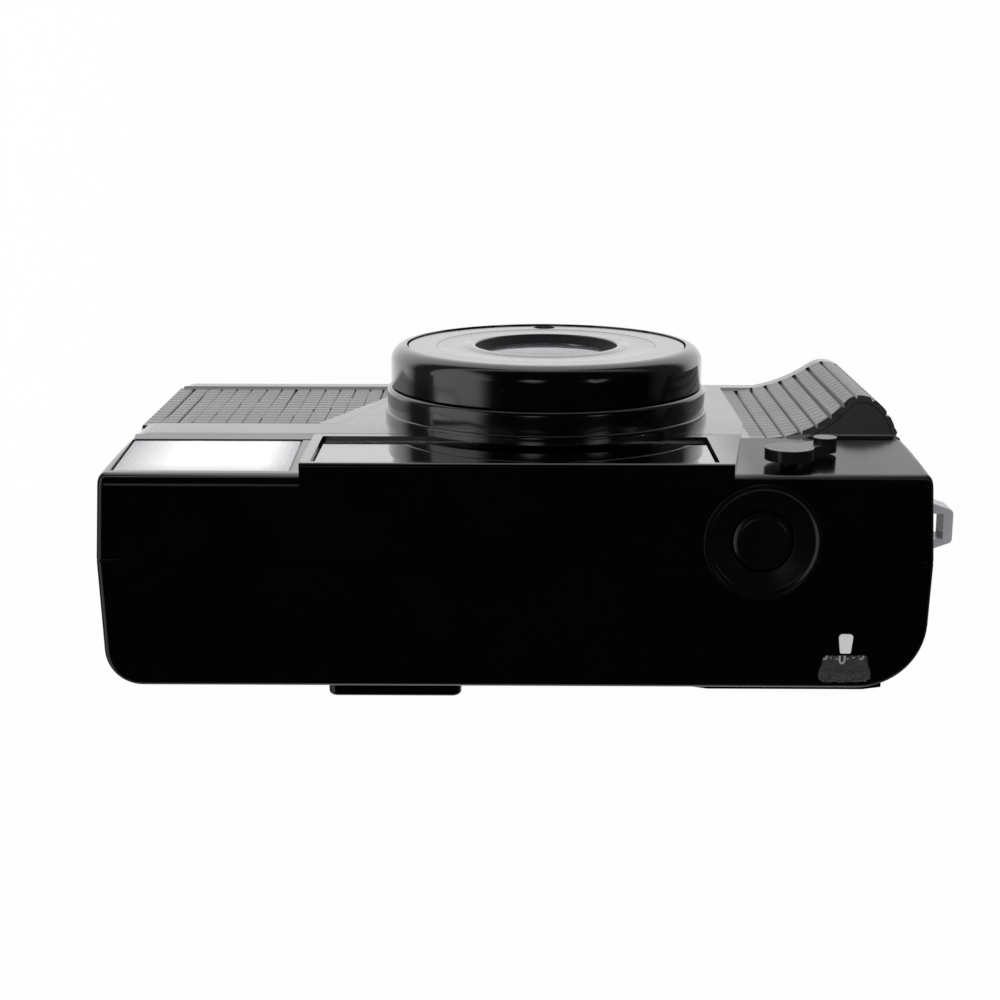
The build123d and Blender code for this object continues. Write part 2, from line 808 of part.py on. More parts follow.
def top_cover():
    """Moulded top with the stepped front, the window recess and the rear thumb rest."""
    low, high = front_cover_top, body_height
    shelf = profiled(polygon((back_y + 1, low), (shelf_y, low), (shelf_top_y, high), (back_y + 1, high)),
                     (-half_width - 1, half_width + 1))
    shelf = fillet(shelf.edges().filter_by(Axis.X).sort_by_distance((0, shelf_top_y, high))[0],
                   shelf_edge_radius)
    middle = facing(polygon((block_flash_x, low), (block_flash_x, high),
                            (block_grip_x, high), (block_grip_low_x, low)), (front_y, back_y))
    middle = fillet(middle.edges().filter_by(Axis.X).sort_by_distance((0, front_y, high))[0],
                    block_edge_radius)
    outer = (shelf + middle) & body_shape((low, high))
    rim = outer.edges().group_by(Axis.Z)[-1].filter_by(lambda edge: edge.center().Y > seam_y)
    outer = fillet(rim, top_edge_radius)
    rest_y = back_y + thumb_rest
    rest = polygon((thumb_rest_low_x, back_y - end_wall), (thumb_rest_high_x, back_y - end_wall),
                   (thumb_rest_high_x, back_y), (thumb_rest_high_x - thumb_rest_slope, rest_y),
                   (thumb_rest_low_x + thumb_rest_slope, rest_y), (thumb_rest_low_x, back_y))
    outer += raised(rest, (door_top + door_gap, high - top_edge_radius))
    inside = body_shape((low - 1, high - top_wall), end_wall)
    inside -= block((-body_width, body_width), (lens_front_y, top_inner_y), (low - 2, high))
    shell = outer - inside
    shell -= block((-body_width, body_width), (door_seam_y, back_y + 1), (low - 1, door_top + door_gap))
    seam = block((-body_width, body_width), (seam_y - seam_groove, seam_y + seam_groove), (low - 1, high + 1))
    shell -= seam - body_shape((low - 2, high - seam_groove), seam_groove)
    pin_high = body_height - top_wall
    return shell - top_openings() + post(counter_x, counter_y, (pin_high - counter_pin_length, pin_high),
                                         counter_pin_radius)


def top_openings():
    """Everything cut through the top cover."""
    ledge = strip_ledge
    cut = block((strip_low_x, strip_high_x), (front_y - 1, front_y + strip_recess + strip_thickness),
                (strip_bottom, strip_top))
    cut += block((strip_low_x + ledge, strip_high_x - ledge), (front_y, top_inner_y + 1),
                 (strip_bottom + ledge, strip_top - ledge))
    cut += block((flash_low_x, flash_high_x), (lens_front_y, top_inner_y + 1), (flash_bottom, flash_top))
    cut += block((eyepiece_low_x - seat_gap, eyepiece_high_x + seat_gap),
                 (back_y - eyepiece_hole_depth, back_y + 1),
                 (eyepiece_bottom - seat_gap, eyepiece_top + seat_gap))
    cut += post(button_x, button_y, (body_height - button_ring_depth, body_height + 1), button_ring_radius)
    cut += post(button_x, button_y, (body_height - 2 * top_wall, body_height + 1), button_radius + free_gap)
    cut += raised(counter_window_outline(seat_gap), (body_height - top_wall - 1, body_height + 1))
    cut += barrel(timer_x, timer_z, (front_y, top_inner_y + 1), timer_shaft_radius + running_gap)
    cut += raised(index_outline(seat_gap / 2), (body_height - index_inlay, body_height + 1))
    return cut + lug_foot()


def counter_window_outline(grow=0.0):
    """The half-round window over the exposure numbers, seen from above."""
    middle_y = back_y - counter_window_depth
    half_x = counter_window_width / 2 + grow
    half_y = counter_window_length / 2 + grow
    return outline([
        (counter_x - half_x, middle_y + half_y, half_y / 2),
        (counter_x + half_x, middle_y + half_y, half_y / 2),
        (counter_x + half_x * counter_window_narrow, middle_y - half_y, half_y / 4),
        (counter_x - half_x * counter_window_narrow, middle_y - half_y, half_y / 4),
    ])


def front_cover():
    """Front shell with the lens hole, the two panel recesses and the hand grip."""
    low, high, rear = base_cover_height, front_cover_top, door_seam_y
    shell = body_shape((low, high)) - body_shape((low - 1, high + 1), end_wall)
    shell += body_shape((low, high)) & block((-body_width, body_width), (front_y, inner_front_y), (low, high))
    shell -= block((-body_width, body_width), (rear, back_y + 1), (low - 1, high + 1))
    shell += grip_shape((low, high), 0) - over_grip()
    shell -= grip_shape((low - 1, grip_panel_top - grip_wall), grip_wall + panel_thickness)
    shell -= raised(grip_region(panel_thickness + seat_gap), (low - 1, high + 1))
    foot = high - (block_grip_low_x - grip_panel_x) * (body_height - high) / block_grip_slant
    shell -= facing(polygon((grip_panel_x, foot), (block_grip_low_x, high), (block_grip_low_x, high + 1),
                            (grip_panel_x, high + 1)), (front_y - 1, shelf_y))
    shell -= flash_panel_region(seat_gap)
    shell -= barrel(lens_x, lens_z, (front_y - 1, inner_front_y + 1), lens_hole_radius)
    pocket_y = holder_front_y - seat_gap
    shell -= block((holder_low_x - seat_gap, holder_high_x + seat_gap), (pocket_y, inner_front_y + 1),
                   (low - 1, holder_top + seat_gap))
    shell -= post(hinge_x, hinge_y, (knuckle_low - hinge_end_gap, knuckle_high + hinge_end_gap),
                  hinge_radius + free_gap)
    return shell - latch_slot() + root_knuckles()


def over_grip():
    """The space over the grip's sloping top end."""
    ridge_front = front_y - ridge_height - ridge_radius
    return profiled(polygon((ridge_front, grip_panel_top), (shelf_y, front_cover_top), (shelf_y, body_height),
                            (2 * ridge_front, body_height), (2 * ridge_front, grip_panel_top)),
                    (-body_width, body_width))


def flash_panel_region(grow=0.0):
    """The slanted recess of the flash side panel."""
    low, high = base_cover_height - 1, panel_top + grow
    lean = (panel_high_x - panel_low_x) / panel_top
    return facing(polygon((panel_low_x - grow, low), (body_width, low), (body_width, high),
                          (panel_low_x - grow + lean * high, high)), (front_y - 1, panel_seat_y + grow))


def left_ribbed_panel():
    """Flash side panel with grooves between upright ribs."""
    sheet = flash_panel_region() & body_shape((base_cover_height, panel_top))
    sheet &= block((0, body_width), (panel_y, panel_seat_y), (0, body_height))
    edge_x = half_width - front_taper
    for step in range(1, int((edge_x - panel_low_x) / rib_pitch) + 1):
        mark = groove(Vector(edge_x - step * rib_pitch, panel_y), Vector(1, 0), Vector(0, 1))
        sheet -= raised(mark, (0, body_height))
    return sheet


def right_ribbed_panel():
    """Grip panel: a skin of even thickness that follows the grip up to its sloping end, with grooves."""
    skin = raised(grip_region(panel_thickness) - grip_region(0), (base_cover_height, front_cover_top))
    skin -= over_grip()
    start, hollow_middle, join, ridge_middle, leave, end = grip_points(0)
    line = Curve() + [Line(Vector(grip_panel_x, panel_y), start), ThreePointArc(start, hollow_middle, join),
                      ThreePointArc(join, ridge_middle, leave), Line(leave, end)]
    line = Wire(line.edges())
    reverse = line.position_at(0).X < line.position_at(1).X
    for step in range(1, int(line.length / rib_pitch)):
        at = step * rib_pitch / line.length
        if reverse:
            at = 1 - at
        point = line.position_at(at)
        along = line.tangent_at(at) * (-1 if reverse else 1)
        skin -= raised(groove(point, along, along.rotate(Axis.Z, -90)), (0, body_height))
    return skin


def base_cover():
    """Shallow tray under the body and the grip, open under the battery bay."""
    low, high = 0, base_cover_height
    outer = body_shape((base_edge, high)) + grip_shape((base_edge, high), 0)
    outer += body_shape((low, base_edge), base_inset) + grip_shape((low, base_edge), base_inset)
    inner = body_shape((base_wall, high + 1), end_wall) + grip_shape((base_wall, high + 1), grip_wall)
    tray = outer - inner
    tray -= block((cover_low_x - cover_gap, cover_high_x + cover_gap),
                  (front_y - 1, cover_rear_y + cover_gap), (-1, base_wall + cover_gap))
    tray -= block((cover_low_x - tongue_reach - cover_gap, cover_high_x + tongue_reach + cover_gap),
                  (front_y - 1, cover_rear_y + cover_gap), (tongue_low - cover_gap, tongue_high + cover_gap))
    tray -= block((holder_low_x - seat_gap, holder_high_x + seat_gap),
                  (holder_front_y - seat_gap, holder_rear_y + seat_gap), (base_wall, high + 1))
    tray -= post(socket_x, 0, (-1, base_wall + 1), bush_radius - bush_step + seat_gap)
    tray -= post(rewind_button_x, rewind_button_y, (-1, base_wall + 1), rewind_button_radius + free_gap)
    for x, y in base_screw_places:
        tray -= post(x, y, (-1, screw_head_height + seat_gap), screw_head_radius + seat_gap)
        tray -= post(x, y, (-1, base_wall + 1), screw_radius + seat_gap)
    return tray


def battery_cover():
    """Sliding cover with a tongue along each side and a finger grip at its front."""
    slab = block((cover_low_x, cover_high_x), (front_y + base_inset, cover_rear_y), (0, cover_thickness))
    slab += block((cover_low_x - tongue_reach, cover_high_x + tongue_reach),
                  (front_y + 2 * base_inset, cover_rear_y), (tongue_low, tongue_high))
    for step in range(cover_grips):
        y = front_y + cover_grip_start + step * cover_grip_pitch
        slab -= block((battery_middle_x - cover_grip_half, battery_middle_x + cover_grip_half),
                      (y - cover_grip_width / 2, y + cover_grip_width / 2), (-1, cover_grip_depth))
    return slab


def tripod_bush():
    """Flanged bush with the tripod thread's bore, seated inside the base."""
    bush = post(socket_x, 0, (0, chassis_low), bush_radius - bush_step)
    bush += post(socket_x, 0, (base_wall, chassis_low), bush_radius)
    return bush - post(socket_x, 0, (-1, chassis_low + 1), socket_radius)


def base_screws():
    """Countersunk screws that hold the base to the chassis."""
    screws = Part()
    for x, y in base_screw_places:
        screw = post(x, y, (screw_sink, screw_head_height), screw_head_radius)
        screw += post(x, y, (screw_sink, chassis_low + screw_bite), screw_radius)
        half = screw_slot / 2
        depths = (0, screw_sink + screw_slot_depth)
        screw -= block((x - screw_head_radius, x + screw_head_radius), (y - half, y + half), depths)
        screw -= block((x - half, x + half), (y - screw_head_radius, y + screw_head_radius), depths)
        screws += screw
    return screws


# Back door

def root_knuckles():
    """The two hinge knuckles that stay on the body."""
    ends = [(hinge_low, knuckle_low - hinge_end_gap), (knuckle_high + hinge_end_gap, hinge_high)]
    knuckles = Part()
    for pair in ends:
        knuckles += post(hinge_x, hinge_y, pair, hinge_radius)
        knuckles += block((hinge_x, -half_width + end_wall), (door_seam_y - hinge_radius, door_seam_y), pair)
    return knuckles - post(hinge_x, hinge_y, (0, body_height), hinge_pin_radius + seat_gap / 5)


def back_door():
    """Back with rolled ends, its hinge knuckle, the pressure plate's seat and the catch tongue."""
    pair = (door_bottom, door_top)
    shell = body_shape(pair) - body_shape((0, body_height), end_wall)
    shell &= block((-body_width, body_width), (hinge_y + door_seam_gap, back_y + 1), pair)
    lip = body_shape(pair, end_wall - press_gap)
    lip &= block((-body_width, body_width), (door_inner_y - door_lip, back_y), pair)
    rims = lip - block((-body_width, body_width), (0, back_y + 1),
                       (door_bottom + door_lip, door_top - door_lip))
    shell += rims
    knuckle_pair = (knuckle_low, knuckle_high)
    shell -= block((-body_width, hinge_x + 2 * hinge_radius), (0, hinge_y + hinge_radius + free_gap),
                   (0, body_height))
    shell += post(hinge_x, hinge_y, knuckle_pair, hinge_radius)
    web_x = -half_width + rear_taper + end_wall
    shell += block((hinge_x, web_x), (hinge_y + door_seam_gap, hinge_y + hinge_web), knuckle_pair)
    shell -= post(hinge_x, hinge_y, (0, body_height), hinge_pin_radius + running_gap)
    tongue_outer = half_width - end_wall - rear_taper - tongue_gap
    tongue_pair = (latch_z - tongue_height / 2, latch_z + tongue_height / 2)
    tongue = block((tongue_outer - tongue_thickness, tongue_outer), (latch_y - tongue_length, hinge_y + 1),
                   tongue_pair)
    tongue += block((tongue_outer - tongue_thickness, half_width - rear_taper - latch_hook),
                    (hinge_y + door_seam_gap, hinge_y + tongue_root), tongue_pair)
    tongue -= block((tongue_outer - tongue_thickness / 2, tongue_outer + 1),
                    (latch_y + tongue_notch_start, latch_y + tongue_notch_end),
                    (latch_z - tongue_notch_low, latch_z + tongue_notch_high))
    return shell + tongue


def door_hinge_pin():
    return post(hinge_x, hinge_y, (hinge_low - hinge_end_gap, hinge_high + hinge_end_gap), hinge_pin_radius)


def latch_slot():
    """Recess and slot for the door latch in the flash side end wall."""
    outer_x = latch_face_x
    recess_half = latch_width / 2 + free_gap
    recess = block((outer_x - latch_recess, body_width), (latch_y - recess_half, latch_y + recess_half),
                   (latch_z - latch_length / 2 - free_gap,
                    latch_z + latch_length / 2 + latch_travel + free_gap))
    half = latch_stem_half + free_gap
    slot = block((outer_x - 2 * end_wall, body_width), (latch_y - half, latch_y + half),
                 (latch_z - latch_stem_height / 2 - free_gap,
                  latch_z + latch_travel + latch_stem_height / 2 + free_gap))
    return recess + slot


def door_latch():
    """Sliding latch, flush with the end wall, with its hook behind the wall."""
    outer_x = latch_face_x
    plate = block((outer_x - latch_recess + seat_gap, outer_x),
                  (latch_y - latch_width / 2, latch_y + latch_width / 2),
                  (latch_z - latch_length / 2, latch_z + latch_length / 2))
    for step in range(latch_ribs):
        z = latch_z + (step - (latch_ribs - 1) / 2) * latch_rib_pitch
        plate -= block((outer_x - latch_rib_depth, outer_x + 1),
                       (latch_y - latch_width, latch_y + latch_width),
                       (z - latch_rib_depth, z + latch_rib_depth))
    inner_x = half_width - end_wall - rear_taper
    stem = block((inner_x - latch_hold, outer_x - latch_recess + latch_hold),
                 (latch_y - latch_stem_half, latch_y + latch_stem_half),
                 (latch_z - latch_stem_height / 2, latch_z + latch_stem_height / 2))
    hook = block((inner_x + latch_hold - latch_hook, inner_x + latch_hold),
                 (latch_y - latch_hook_front, latch_y + latch_hook_rear),
                 (latch_z - latch_hook_low, latch_z + latch_hook_high))
    return plate + stem + hook


def pressure_plate():
    """Flat plate that keeps the film against the rails."""
    half = plate_width / 2
    z_half = film_width / 2 - plate_border
    plate = block((lens_x - half, lens_x + half), (plate_front_y, plate_front_y + plate_thickness),
                  (lens_z - z_half, lens_z + z_half))
    plate = fillet(plate.edges().filter_by(Axis.Y), plate_corner)
    for x in (lens_x - half + plate_slot_setback, lens_x, lens_x + half - plate_slot_setback):
        plate -= block((x - plate_slot_width / 2, x + plate_slot_width / 2), (plate_front_y - 1, back_y),
                       (lens_z - plate_slot_length / 2, lens_z + plate_slot_length / 2))
    return plate


def pressure_spring():
    """Bowed leaf between the door and the pressure plate."""
    rest_y = plate_front_y + plate_thickness
    half = spring_length / 2
    leaf = Part()
    for side in (-1, 1):
        low = (lens_x - half, door_inner_y - press_gap)
        top = (lens_x, rest_y + spring_gap)
        high = (lens_x + half, door_inner_y - press_gap)
        inner_low = (low[0] + spring_foot, low[1])
        inner_high = (high[0] - spring_foot, high[1])
        bow = make_face(Curve() + [
            ThreePointArc(low, top, high),
            Line(high, inner_high),
            ThreePointArc(inner_high, (top[0], top[1] + spring_leaf), inner_low),
            Line(inner_low, low),
        ])
        z = lens_z + side * spring_offset
        leaf += raised(bow, (z - spring_width / 2, z + spring_width / 2))
    return leaf


# Chassis and film path

def chassis():
    """Moulded frame with the cartridge and take-up chambers, the gate and the gear deck."""
    low, high = chassis_low, deck_top
    frame = block((chassis_low_x, chassis_high_x), (chassis_front_y, chassis_rear_y), (low, high))
    frame &= body_shape((low, high), end_wall + chassis_gap)
    top = high - deck_thickness
    frame -= post(cartridge_x, cartridge_y, (chamber_floor, top), chamber_radius)
    frame -= block((cartridge_x - chamber_radius, cartridge_x + chamber_radius), (cartridge_y, back_y),
                   (chamber_floor, top))
    frame -= post(cartridge_x, cartridge_y, (0, chamber_floor + 1), hub_radius)
    frame -= post(spool_x, spool_y, (spool_floor, top), take_up_radius)
    frame -= block((spool_x - take_up_radius, spool_x + take_up_radius), (spool_y, back_y),
                   (spool_floor, top))
    frame -= post(sprocket_x, sprocket_y, (sprocket_bottom - free_gap, top), sprocket_hole)
    frame -= block((sprocket_x - sprocket_hole, sprocket_x + sprocket_hole), (sprocket_y, back_y),
                   (sprocket_bottom - free_gap, top))
    frame -= light_box_space(seat_gap)
    bay = block((holder_low_x - seat_gap, holder_high_x + seat_gap), (chassis_front_y - 1, back_y),
                (low - 1, holder_top + seat_gap))
    frame -= bay
    for pocket_low_x, pocket_high_x, pocket_rear_y in front_pockets:
        frame -= block((pocket_low_x, pocket_high_x), (chassis_front_y - 1, pocket_rear_y),
                       (holder_top + pocket_low_wall, top - pocket_high_wall))
    frame -= post(spool_x, spool_y, (top - 1, high + 1), spool_shaft_radius + running_gap)
    frame -= post(sprocket_x, sprocket_y, (top - 1, high + 1), sprocket_shaft_radius + running_gap)
    frame -= post(sprocket_x, sprocket_y, (sprocket_bottom - pivot_length - free_gap, sprocket_bottom),
                  pivot_radius + running_gap)
    frame -= post(cartridge_x, cartridge_y, (top - 1, high + 1), fork_shaft_radius + running_gap)
    for x, y in base_screw_places:
        frame -= post(x, y, (low - 1, low + screw_bite + seat_gap), screw_radius + seat_gap / 5)
    frame += post(idler_x, idler_y, (high, upper_gear_z + gear_width + cover_gap), idler_pin_radius)
    for x, y in board_posts:
        frame += post(x, y, (high, board_z), board_post_radius)
    return frame


def light_box_space(grow=0.0):
    """The block that the light box fills."""
    return block((light_box_low_x - grow, light_box_high_x + grow),
                 (chassis_front_y - grow, chassis_rear_y + grow),
                 (lens_z - light_box_z_half - grow, lens_z + light_box_z_half + grow))


def light_box():
    """Black box between the shutter and the picture gate, set into the chassis."""
    return light_box_space() - light_cone()


def light_cone():
    """The opening behind the lens, widening to the picture gate."""
    rear = Plane((lens_x, chassis_rear_y, lens_z), x_dir=(1, 0, 0), z_dir=(0, -1, 0)) \
        * Rectangle(gate_width, gate_height)
    front = Plane((lens_x, chassis_front_y, lens_z), x_dir=(1, 0, 0), z_dir=(0, -1, 0)) \
        * Rectangle(cone_width, cone_height)
    return loft([rear.faces()[0], front.faces()[0]], ruled=True)


def film_gate():
    """Plate round the picture opening with two polished rails and two guide rails."""
    half = gate_plate_length / 2
    rear = chassis_rear_y + gate_plate
    plate = block((lens_x - half, lens_x + half), (chassis_rear_y, rear), (lens_z - gate_plate_height / 2,
                  lens_z + gate_plate_height / 2))
    plate -= block((lens_x - gate_width / 2, lens_x + gate_width / 2), (0, back_y),
                   (lens_z - gate_height / 2, lens_z + gate_height / 2))
    for side in (-1, 1):
        inner = lens_z + side * (gate_height / 2 + rail_offset)
        plate += block((lens_x - half, lens_x + half), (rear, rear + rail_height - spring_gap),
                       (inner - rail_width / 2, inner + rail_width / 2))
        outer = lens_z + side * (film_width / 2 + guide_offset)
        plate += block((lens_x - half, lens_x + half), (rear, rear + guide_height),
                       (outer - guide_width / 2, outer + guide_width / 2))
    return plate


def battery_holder():
    """Trough for two cells side by side, open below."""
    low = cover_thickness + holder_lift
    lower = block((holder_low_x, holder_high_x), (holder_front_y, holder_rear_y),
                  (low, battery_z + holder_step))
    upper = block((holder_low_x, holder_high_x), (holder_front_y, chassis_rear_y - holder_rear_gap),
                  (low, holder_top))
    holder = lower + upper
    for y in (battery_front_y, battery_rear_y):
        radius = battery_radius + battery_gap
        holder -= rod(y, battery_z, (bay_low_x, bay_high_x), radius)
        holder -= block((bay_low_x, bay_high_x), (y - radius, y + radius), (0, battery_z))
    return holder


def battery_cells():
    """Two cells that lie opposite ways."""
    cells = Part()
    for y, way in ((battery_front_y, 1), (battery_rear_y, -1)):
        middle = battery_middle_x - way * battery_nub_length / 2
        half = battery_length / 2
        can = rod(y, battery_z, (middle - half, middle + half), battery_radius)
        can = chamfer(can.edges().filter_by(GeomType.CIRCLE), battery_edge)
        tip = middle + way * half
        can += rod(y, battery_z, (tip, tip + way * battery_nub_length), battery_nub_radius)
        cells += can
    return cells


def battery_contacts():
    """Spring leaf at each end of each cell."""
    contacts = Part()
    for x, way in ((bay_low_x, 1), (bay_high_x, -1)):
        for y in (battery_front_y, battery_rear_y):
            leaf = block((x, x + way * contact_thickness), (y - contact_half_width, y + contact_half_width),
                         (battery_z - contact_half_height, battery_z + contact_half_height))
            leaf += rod(y, battery_z, (x, x + way * (contact_space - spring_gap)), contact_button_radius)
            contacts += leaf
    return contacts


def take_up_spool():
    """Hollow spool with film slots, carried by its shaft in the deck."""
    low, high = spool_floor + free_gap, chamber_top - spool_top_gap
    spool = post(spool_x, spool_y, (low, high), spool_radius)
    spool += post(spool_x, spool_y, (low, low + flange_thickness), spool_radius + spool_flange)
    spool += post(spool_x, spool_y, (high - flange_thickness, high), spool_radius + spool_flange)
    spool -= post(spool_x, spool_y, (low - 1, high - 2 * flange_thickness), spool_radius - spool_wall)
    for step in range(spool_slots):
        slot = block((0, spool_radius + spool_wall), (-spool_slot_width / 2, spool_slot_width / 2),
                     (lens_z - spool_slot_length / 2, lens_z + spool_slot_length / 2))
        spool -= Pos(spool_x, spool_y, 0) * Rot(Z=step * 360 / spool_slots + 90) * slot
    spool += post(spool_x, spool_y, (high - flange_thickness, gear_z + gear_width), spool_shaft_radius)
    return spool - post(spool_x, spool_y, (low, body_height), motor_shaft_radius + free_gap)


def sprocket():
    """Film sprocket: a drum with one toothed rim and its shaft."""
    low, high = sprocket_bottom, chamber_top - 2 * free_gap
    rim_z = lens_z + perforation_offset
    drum = post(sprocket_x, sprocket_y, (low, high), sprocket_radius - sprocket_rim)
    drum += post(sprocket_x, sprocket_y, (low, low + sprocket_foot), sprocket_radius)
    rim = post(sprocket_x, sprocket_y, (rim_z - sprocket_rim, rim_z + sprocket_rim), sprocket_radius)
    for step in range(sprocket_teeth):
        tooth = Pos(sprocket_x, sprocket_y, rim_z) * Rot(Z=360 / sprocket_teeth * (step + 0.5)) \
            * Pos(sprocket_radius + tooth_size[0] / 4, 0, 0) * Box(*tooth_size)
        rim += tooth
    drum += rim
    drum += post(sprocket_x, sprocket_y, (low - pivot_length, low), pivot_radius)
    return drum + post(sprocket_x, sprocket_y, (high, gear_z + gear_width), sprocket_shaft_radius)


def rewind_fork():
    """Fork that turns the cartridge's spool, hung from the deck."""
    tip, neck = chamber_top - fork_length, chamber_top - fork_neck
    fork = post(cartridge_x, cartridge_y, (tip + fork_thickness, neck), fork_radius)
    fork += post(cartridge_x, cartridge_y, (neck - fork_blade, gear_z + gear_width), fork_shaft_radius)
    for side in (-1, 1):
        fork += Pos(cartridge_x + side * fork_blade_offset, cartridge_y, (tip + neck) / 2) \
            * Box(fork_blade, fork_thickness, neck - tip)
    return fork


# Gears

def mesh_phase(teeth, phase, other_teeth, direction):
    """Phase of a gear that meshes with another one in the given direction from it, in degrees."""
    place = (direction - phase) * teeth / 360.0
    return direction + 180.0 - (0.5 - place) * 360.0 / other_teeth


sprocket_direction = math.degrees(math.atan2(sprocket_y - spool_y, sprocket_x - spool_x))
spool_phase = sprocket_direction
sprocket_phase = mesh_phase(spool_gear_teeth, spool_phase, sprocket_gear_teeth, sprocket_direction)
idler_phase = mesh_phase(spool_gear_teeth, spool_phase, idler_small_teeth, idler_angle)
pinion_phase = mesh_phase(idler_large_teeth, idler_phase, pinion_teeth, idler_angle + 180.0)


def spool_gear():
    return Pos(spool_x, spool_y, 0) * gear(spool_gear_teeth, gear_z, spool_phase,
                                           spool_shaft_radius + press_gap)


def sprocket_gear():
    return Pos(sprocket_x, sprocket_y, 0) * gear(sprocket_gear_teeth, gear_z, sprocket_phase,
                                                 sprocket_shaft_radius + press_gap)


def idler_gear():
    """Compound gear between the motor's pinion and the spool."""
    bore = idler_pin_radius + running_gap
    wheel = gear(idler_small_teeth, gear_z, idler_phase, bore)
    wheel += gear(idler_large_teeth, upper_gear_z, idler_phase, bore)
    wheel += post(0, 0, (gear_z, upper_gear_z + gear_width), idler_hub_radius) \
        - post(0, 0, (0, body_height), bore)
    return Pos(idler_x, idler_y, 0) * wheel


def motor_pinion():
    """Motor shaft with its pinion, which runs above the spool's gear."""
    shaft = post(0, 0, (motor_top - motor_shaft_depth, upper_gear_z + gear_width), motor_shaft_radius)
    teeth = gear(pinion_teeth, upper_gear_z, pinion_phase, motor_shaft_radius / 2)
    return Pos(spool_x, spool_y, 0) * (teeth + shaft)


def rewind_gear():
    bore = fork_shaft_radius + press_gap
    return Pos(cartridge_x, cartridge_y, 0) * gear(rewind_gear_teeth, gear_z, 0.0, bore)


def wind_motor():
    """Motor inside the take-up spool, standing on the chassis floor."""
    motor = post(spool_x, spool_y, (spool_floor, motor_top - motor_boss), motor_radius)
    motor += post(spool_x, spool_y, (motor_top - motor_boss, motor_top), motor_boss_radius)
    return motor - post(spool_x, spool_y, (motor_top - motor_shaft_depth - 1, motor_top + 1),
                        motor_shaft_radius + running_gap)


# Lens and shutter

def base_ring():
    """Fixed lower ring of the lens, with the rim that the turning ring runs on."""
    top_y = front_y - base_ring_length
    rim_radius = speed_ring_bore - speed_ring_gap
    return turned(polygon((housing_radius + seat_gap, front_y), (base_ring_radius, front_y),
                          (base_ring_radius, top_y), (rim_radius, top_y),
                          (rim_radius, top_y - ring_rim), (housing_radius + seat_gap, top_y - ring_rim)))


def film_speed_ring():
    """Turning ring with the rounded shoulder."""
    low_y = front_y - base_ring_length - free_gap
    corner = (speed_ring_radius, lens_front_y + shoulder_radius)
    end = (speed_ring_radius - shoulder_radius, lens_front_y)
    slant = shoulder_radius * math.sqrt(0.5)
    middle = (corner[0] - shoulder_radius + slant, corner[1] - slant)
    face = make_face(Curve() + [
        Polyline(end, (speed_ring_bore, lens_front_y), (speed_ring_bore, low_y),
                 (speed_ring_radius, low_y), corner),
        ThreePointArc(corner, middle, end),
    ])
    return turned(face)


def lens_face():
    """Front disc with two steps, the funnel round the glass and the light sensor's hole."""
    second_y = face_front_y + face_step
    third_y = second_y + face_step
    end_y = third_y + cone_length
    disc = turned(polygon((face_radius, face_front_y), (face_radius, face_rear_y),
                          (face_hole_radius + funnel_wall, face_rear_y),
                          (cone_end_radius + funnel_wall, end_y), (cone_end_radius, end_y),
                          (face_hole_radius, third_y), (face_inner_step_radius, third_y),
                          (face_inner_step_radius, second_y), (face_step_radius, second_y),
                          (face_step_radius, face_front_y)))
    return disc - barrel(lens_x, lens_z - sensor_offset, (face_front_y - 1, face_rear_y + 1),
                         sensor_radius + seat_gap / 2)


def sensor_window():
    """Small clear window of the light sensor."""
    window = barrel(lens_x, lens_z - sensor_offset,
                    (face_front_y + sensor_setback, face_rear_y - sensor_setback), sensor_radius)
    return chamfer(window.edges().sort_by(Axis.Y)[0], sensor_edge)


def shutter_housing():
    """Body of the lens, with the focusing bore, the blade space and the rear glass seat."""
    neck_y = chassis_front_y
    stop_y = rear_stop_y
    bore_rear_y = blade_front_y - stop_thickness
    bore = cell_radius + running_gap
    face = polygon((housing_radius, face_rear_y), (housing_radius, front_y), (neck_radius, front_y),
                   (neck_radius, neck_y), (rear_bore_radius, neck_y), (rear_bore_radius, stop_y),
                   (stop_radius, stop_y), (stop_radius, blade_rear_y), (blade_space_radius, blade_rear_y),
                   (blade_space_radius, blade_front_y), (front_stop_radius, blade_front_y),
                   (front_stop_radius, bore_rear_y), (bore, bore_rear_y), (bore, funnel_space_y),
                   (face_hole_radius + funnel_wall + free_gap, funnel_space_y),
                   (face_hole_radius + funnel_wall + free_gap, face_rear_y))
    housing = turned(face)
    for side in (-1, 1):
        housing += barrel(lens_x + side * blade_pin_offset, lens_z,
                          (blade_front_y - seat_gap, blade_rear_y + seat_gap), blade_pin_radius)
    return housing


def focus_cell():
    """Sliding cell that holds the front glass."""
    seat_y = cell_rear_y - cell_seat
    lip_radius = front_glass_radius - cell_lip
    return turned(polygon((cell_radius, cell_front_y), (cell_radius, cell_rear_y),
                          (lip_radius, cell_rear_y), (lip_radius, seat_y),
                          (front_glass_radius + seat_gap, seat_y),
                          (front_glass_radius + seat_gap, cell_front_y)))


def front_element():
    """Front glass, bulging forwards."""
    rear = cell_rear_y - cell_seat - seat_gap / 2
    rim = rear - glass_rim
    return glass(front_glass_radius, rear, rim, rim - glass_bulge)


def rear_element():
    """Rear glass, bulging backwards."""
    front = chassis_front_y - rear_seat_depth + seat_gap / 2
    rim = front + glass_rim
    return glass(rear_glass_radius, front, rim, rim + glass_bulge / 2)


def glass(radius, flat_y, rim_y, middle_y):
    """A lens with one flat side and one domed side."""
    sag = abs(middle_y - rim_y)
    ball = (radius ** 2 + sag ** 2) / (2 * sag)
    half_sag = ball - math.sqrt(ball ** 2 - radius ** 2 / 4)
    point_y = middle_y + math.copysign(half_sag, rim_y - middle_y)
    face = make_face(Curve() + [
        Polyline((0, middle_y), (0, flat_y), (radius, flat_y), (radius, rim_y)),
        ThreePointArc((radius, rim_y), (radius / 2, point_y), (0, middle_y)),
    ])
    return turned(face)


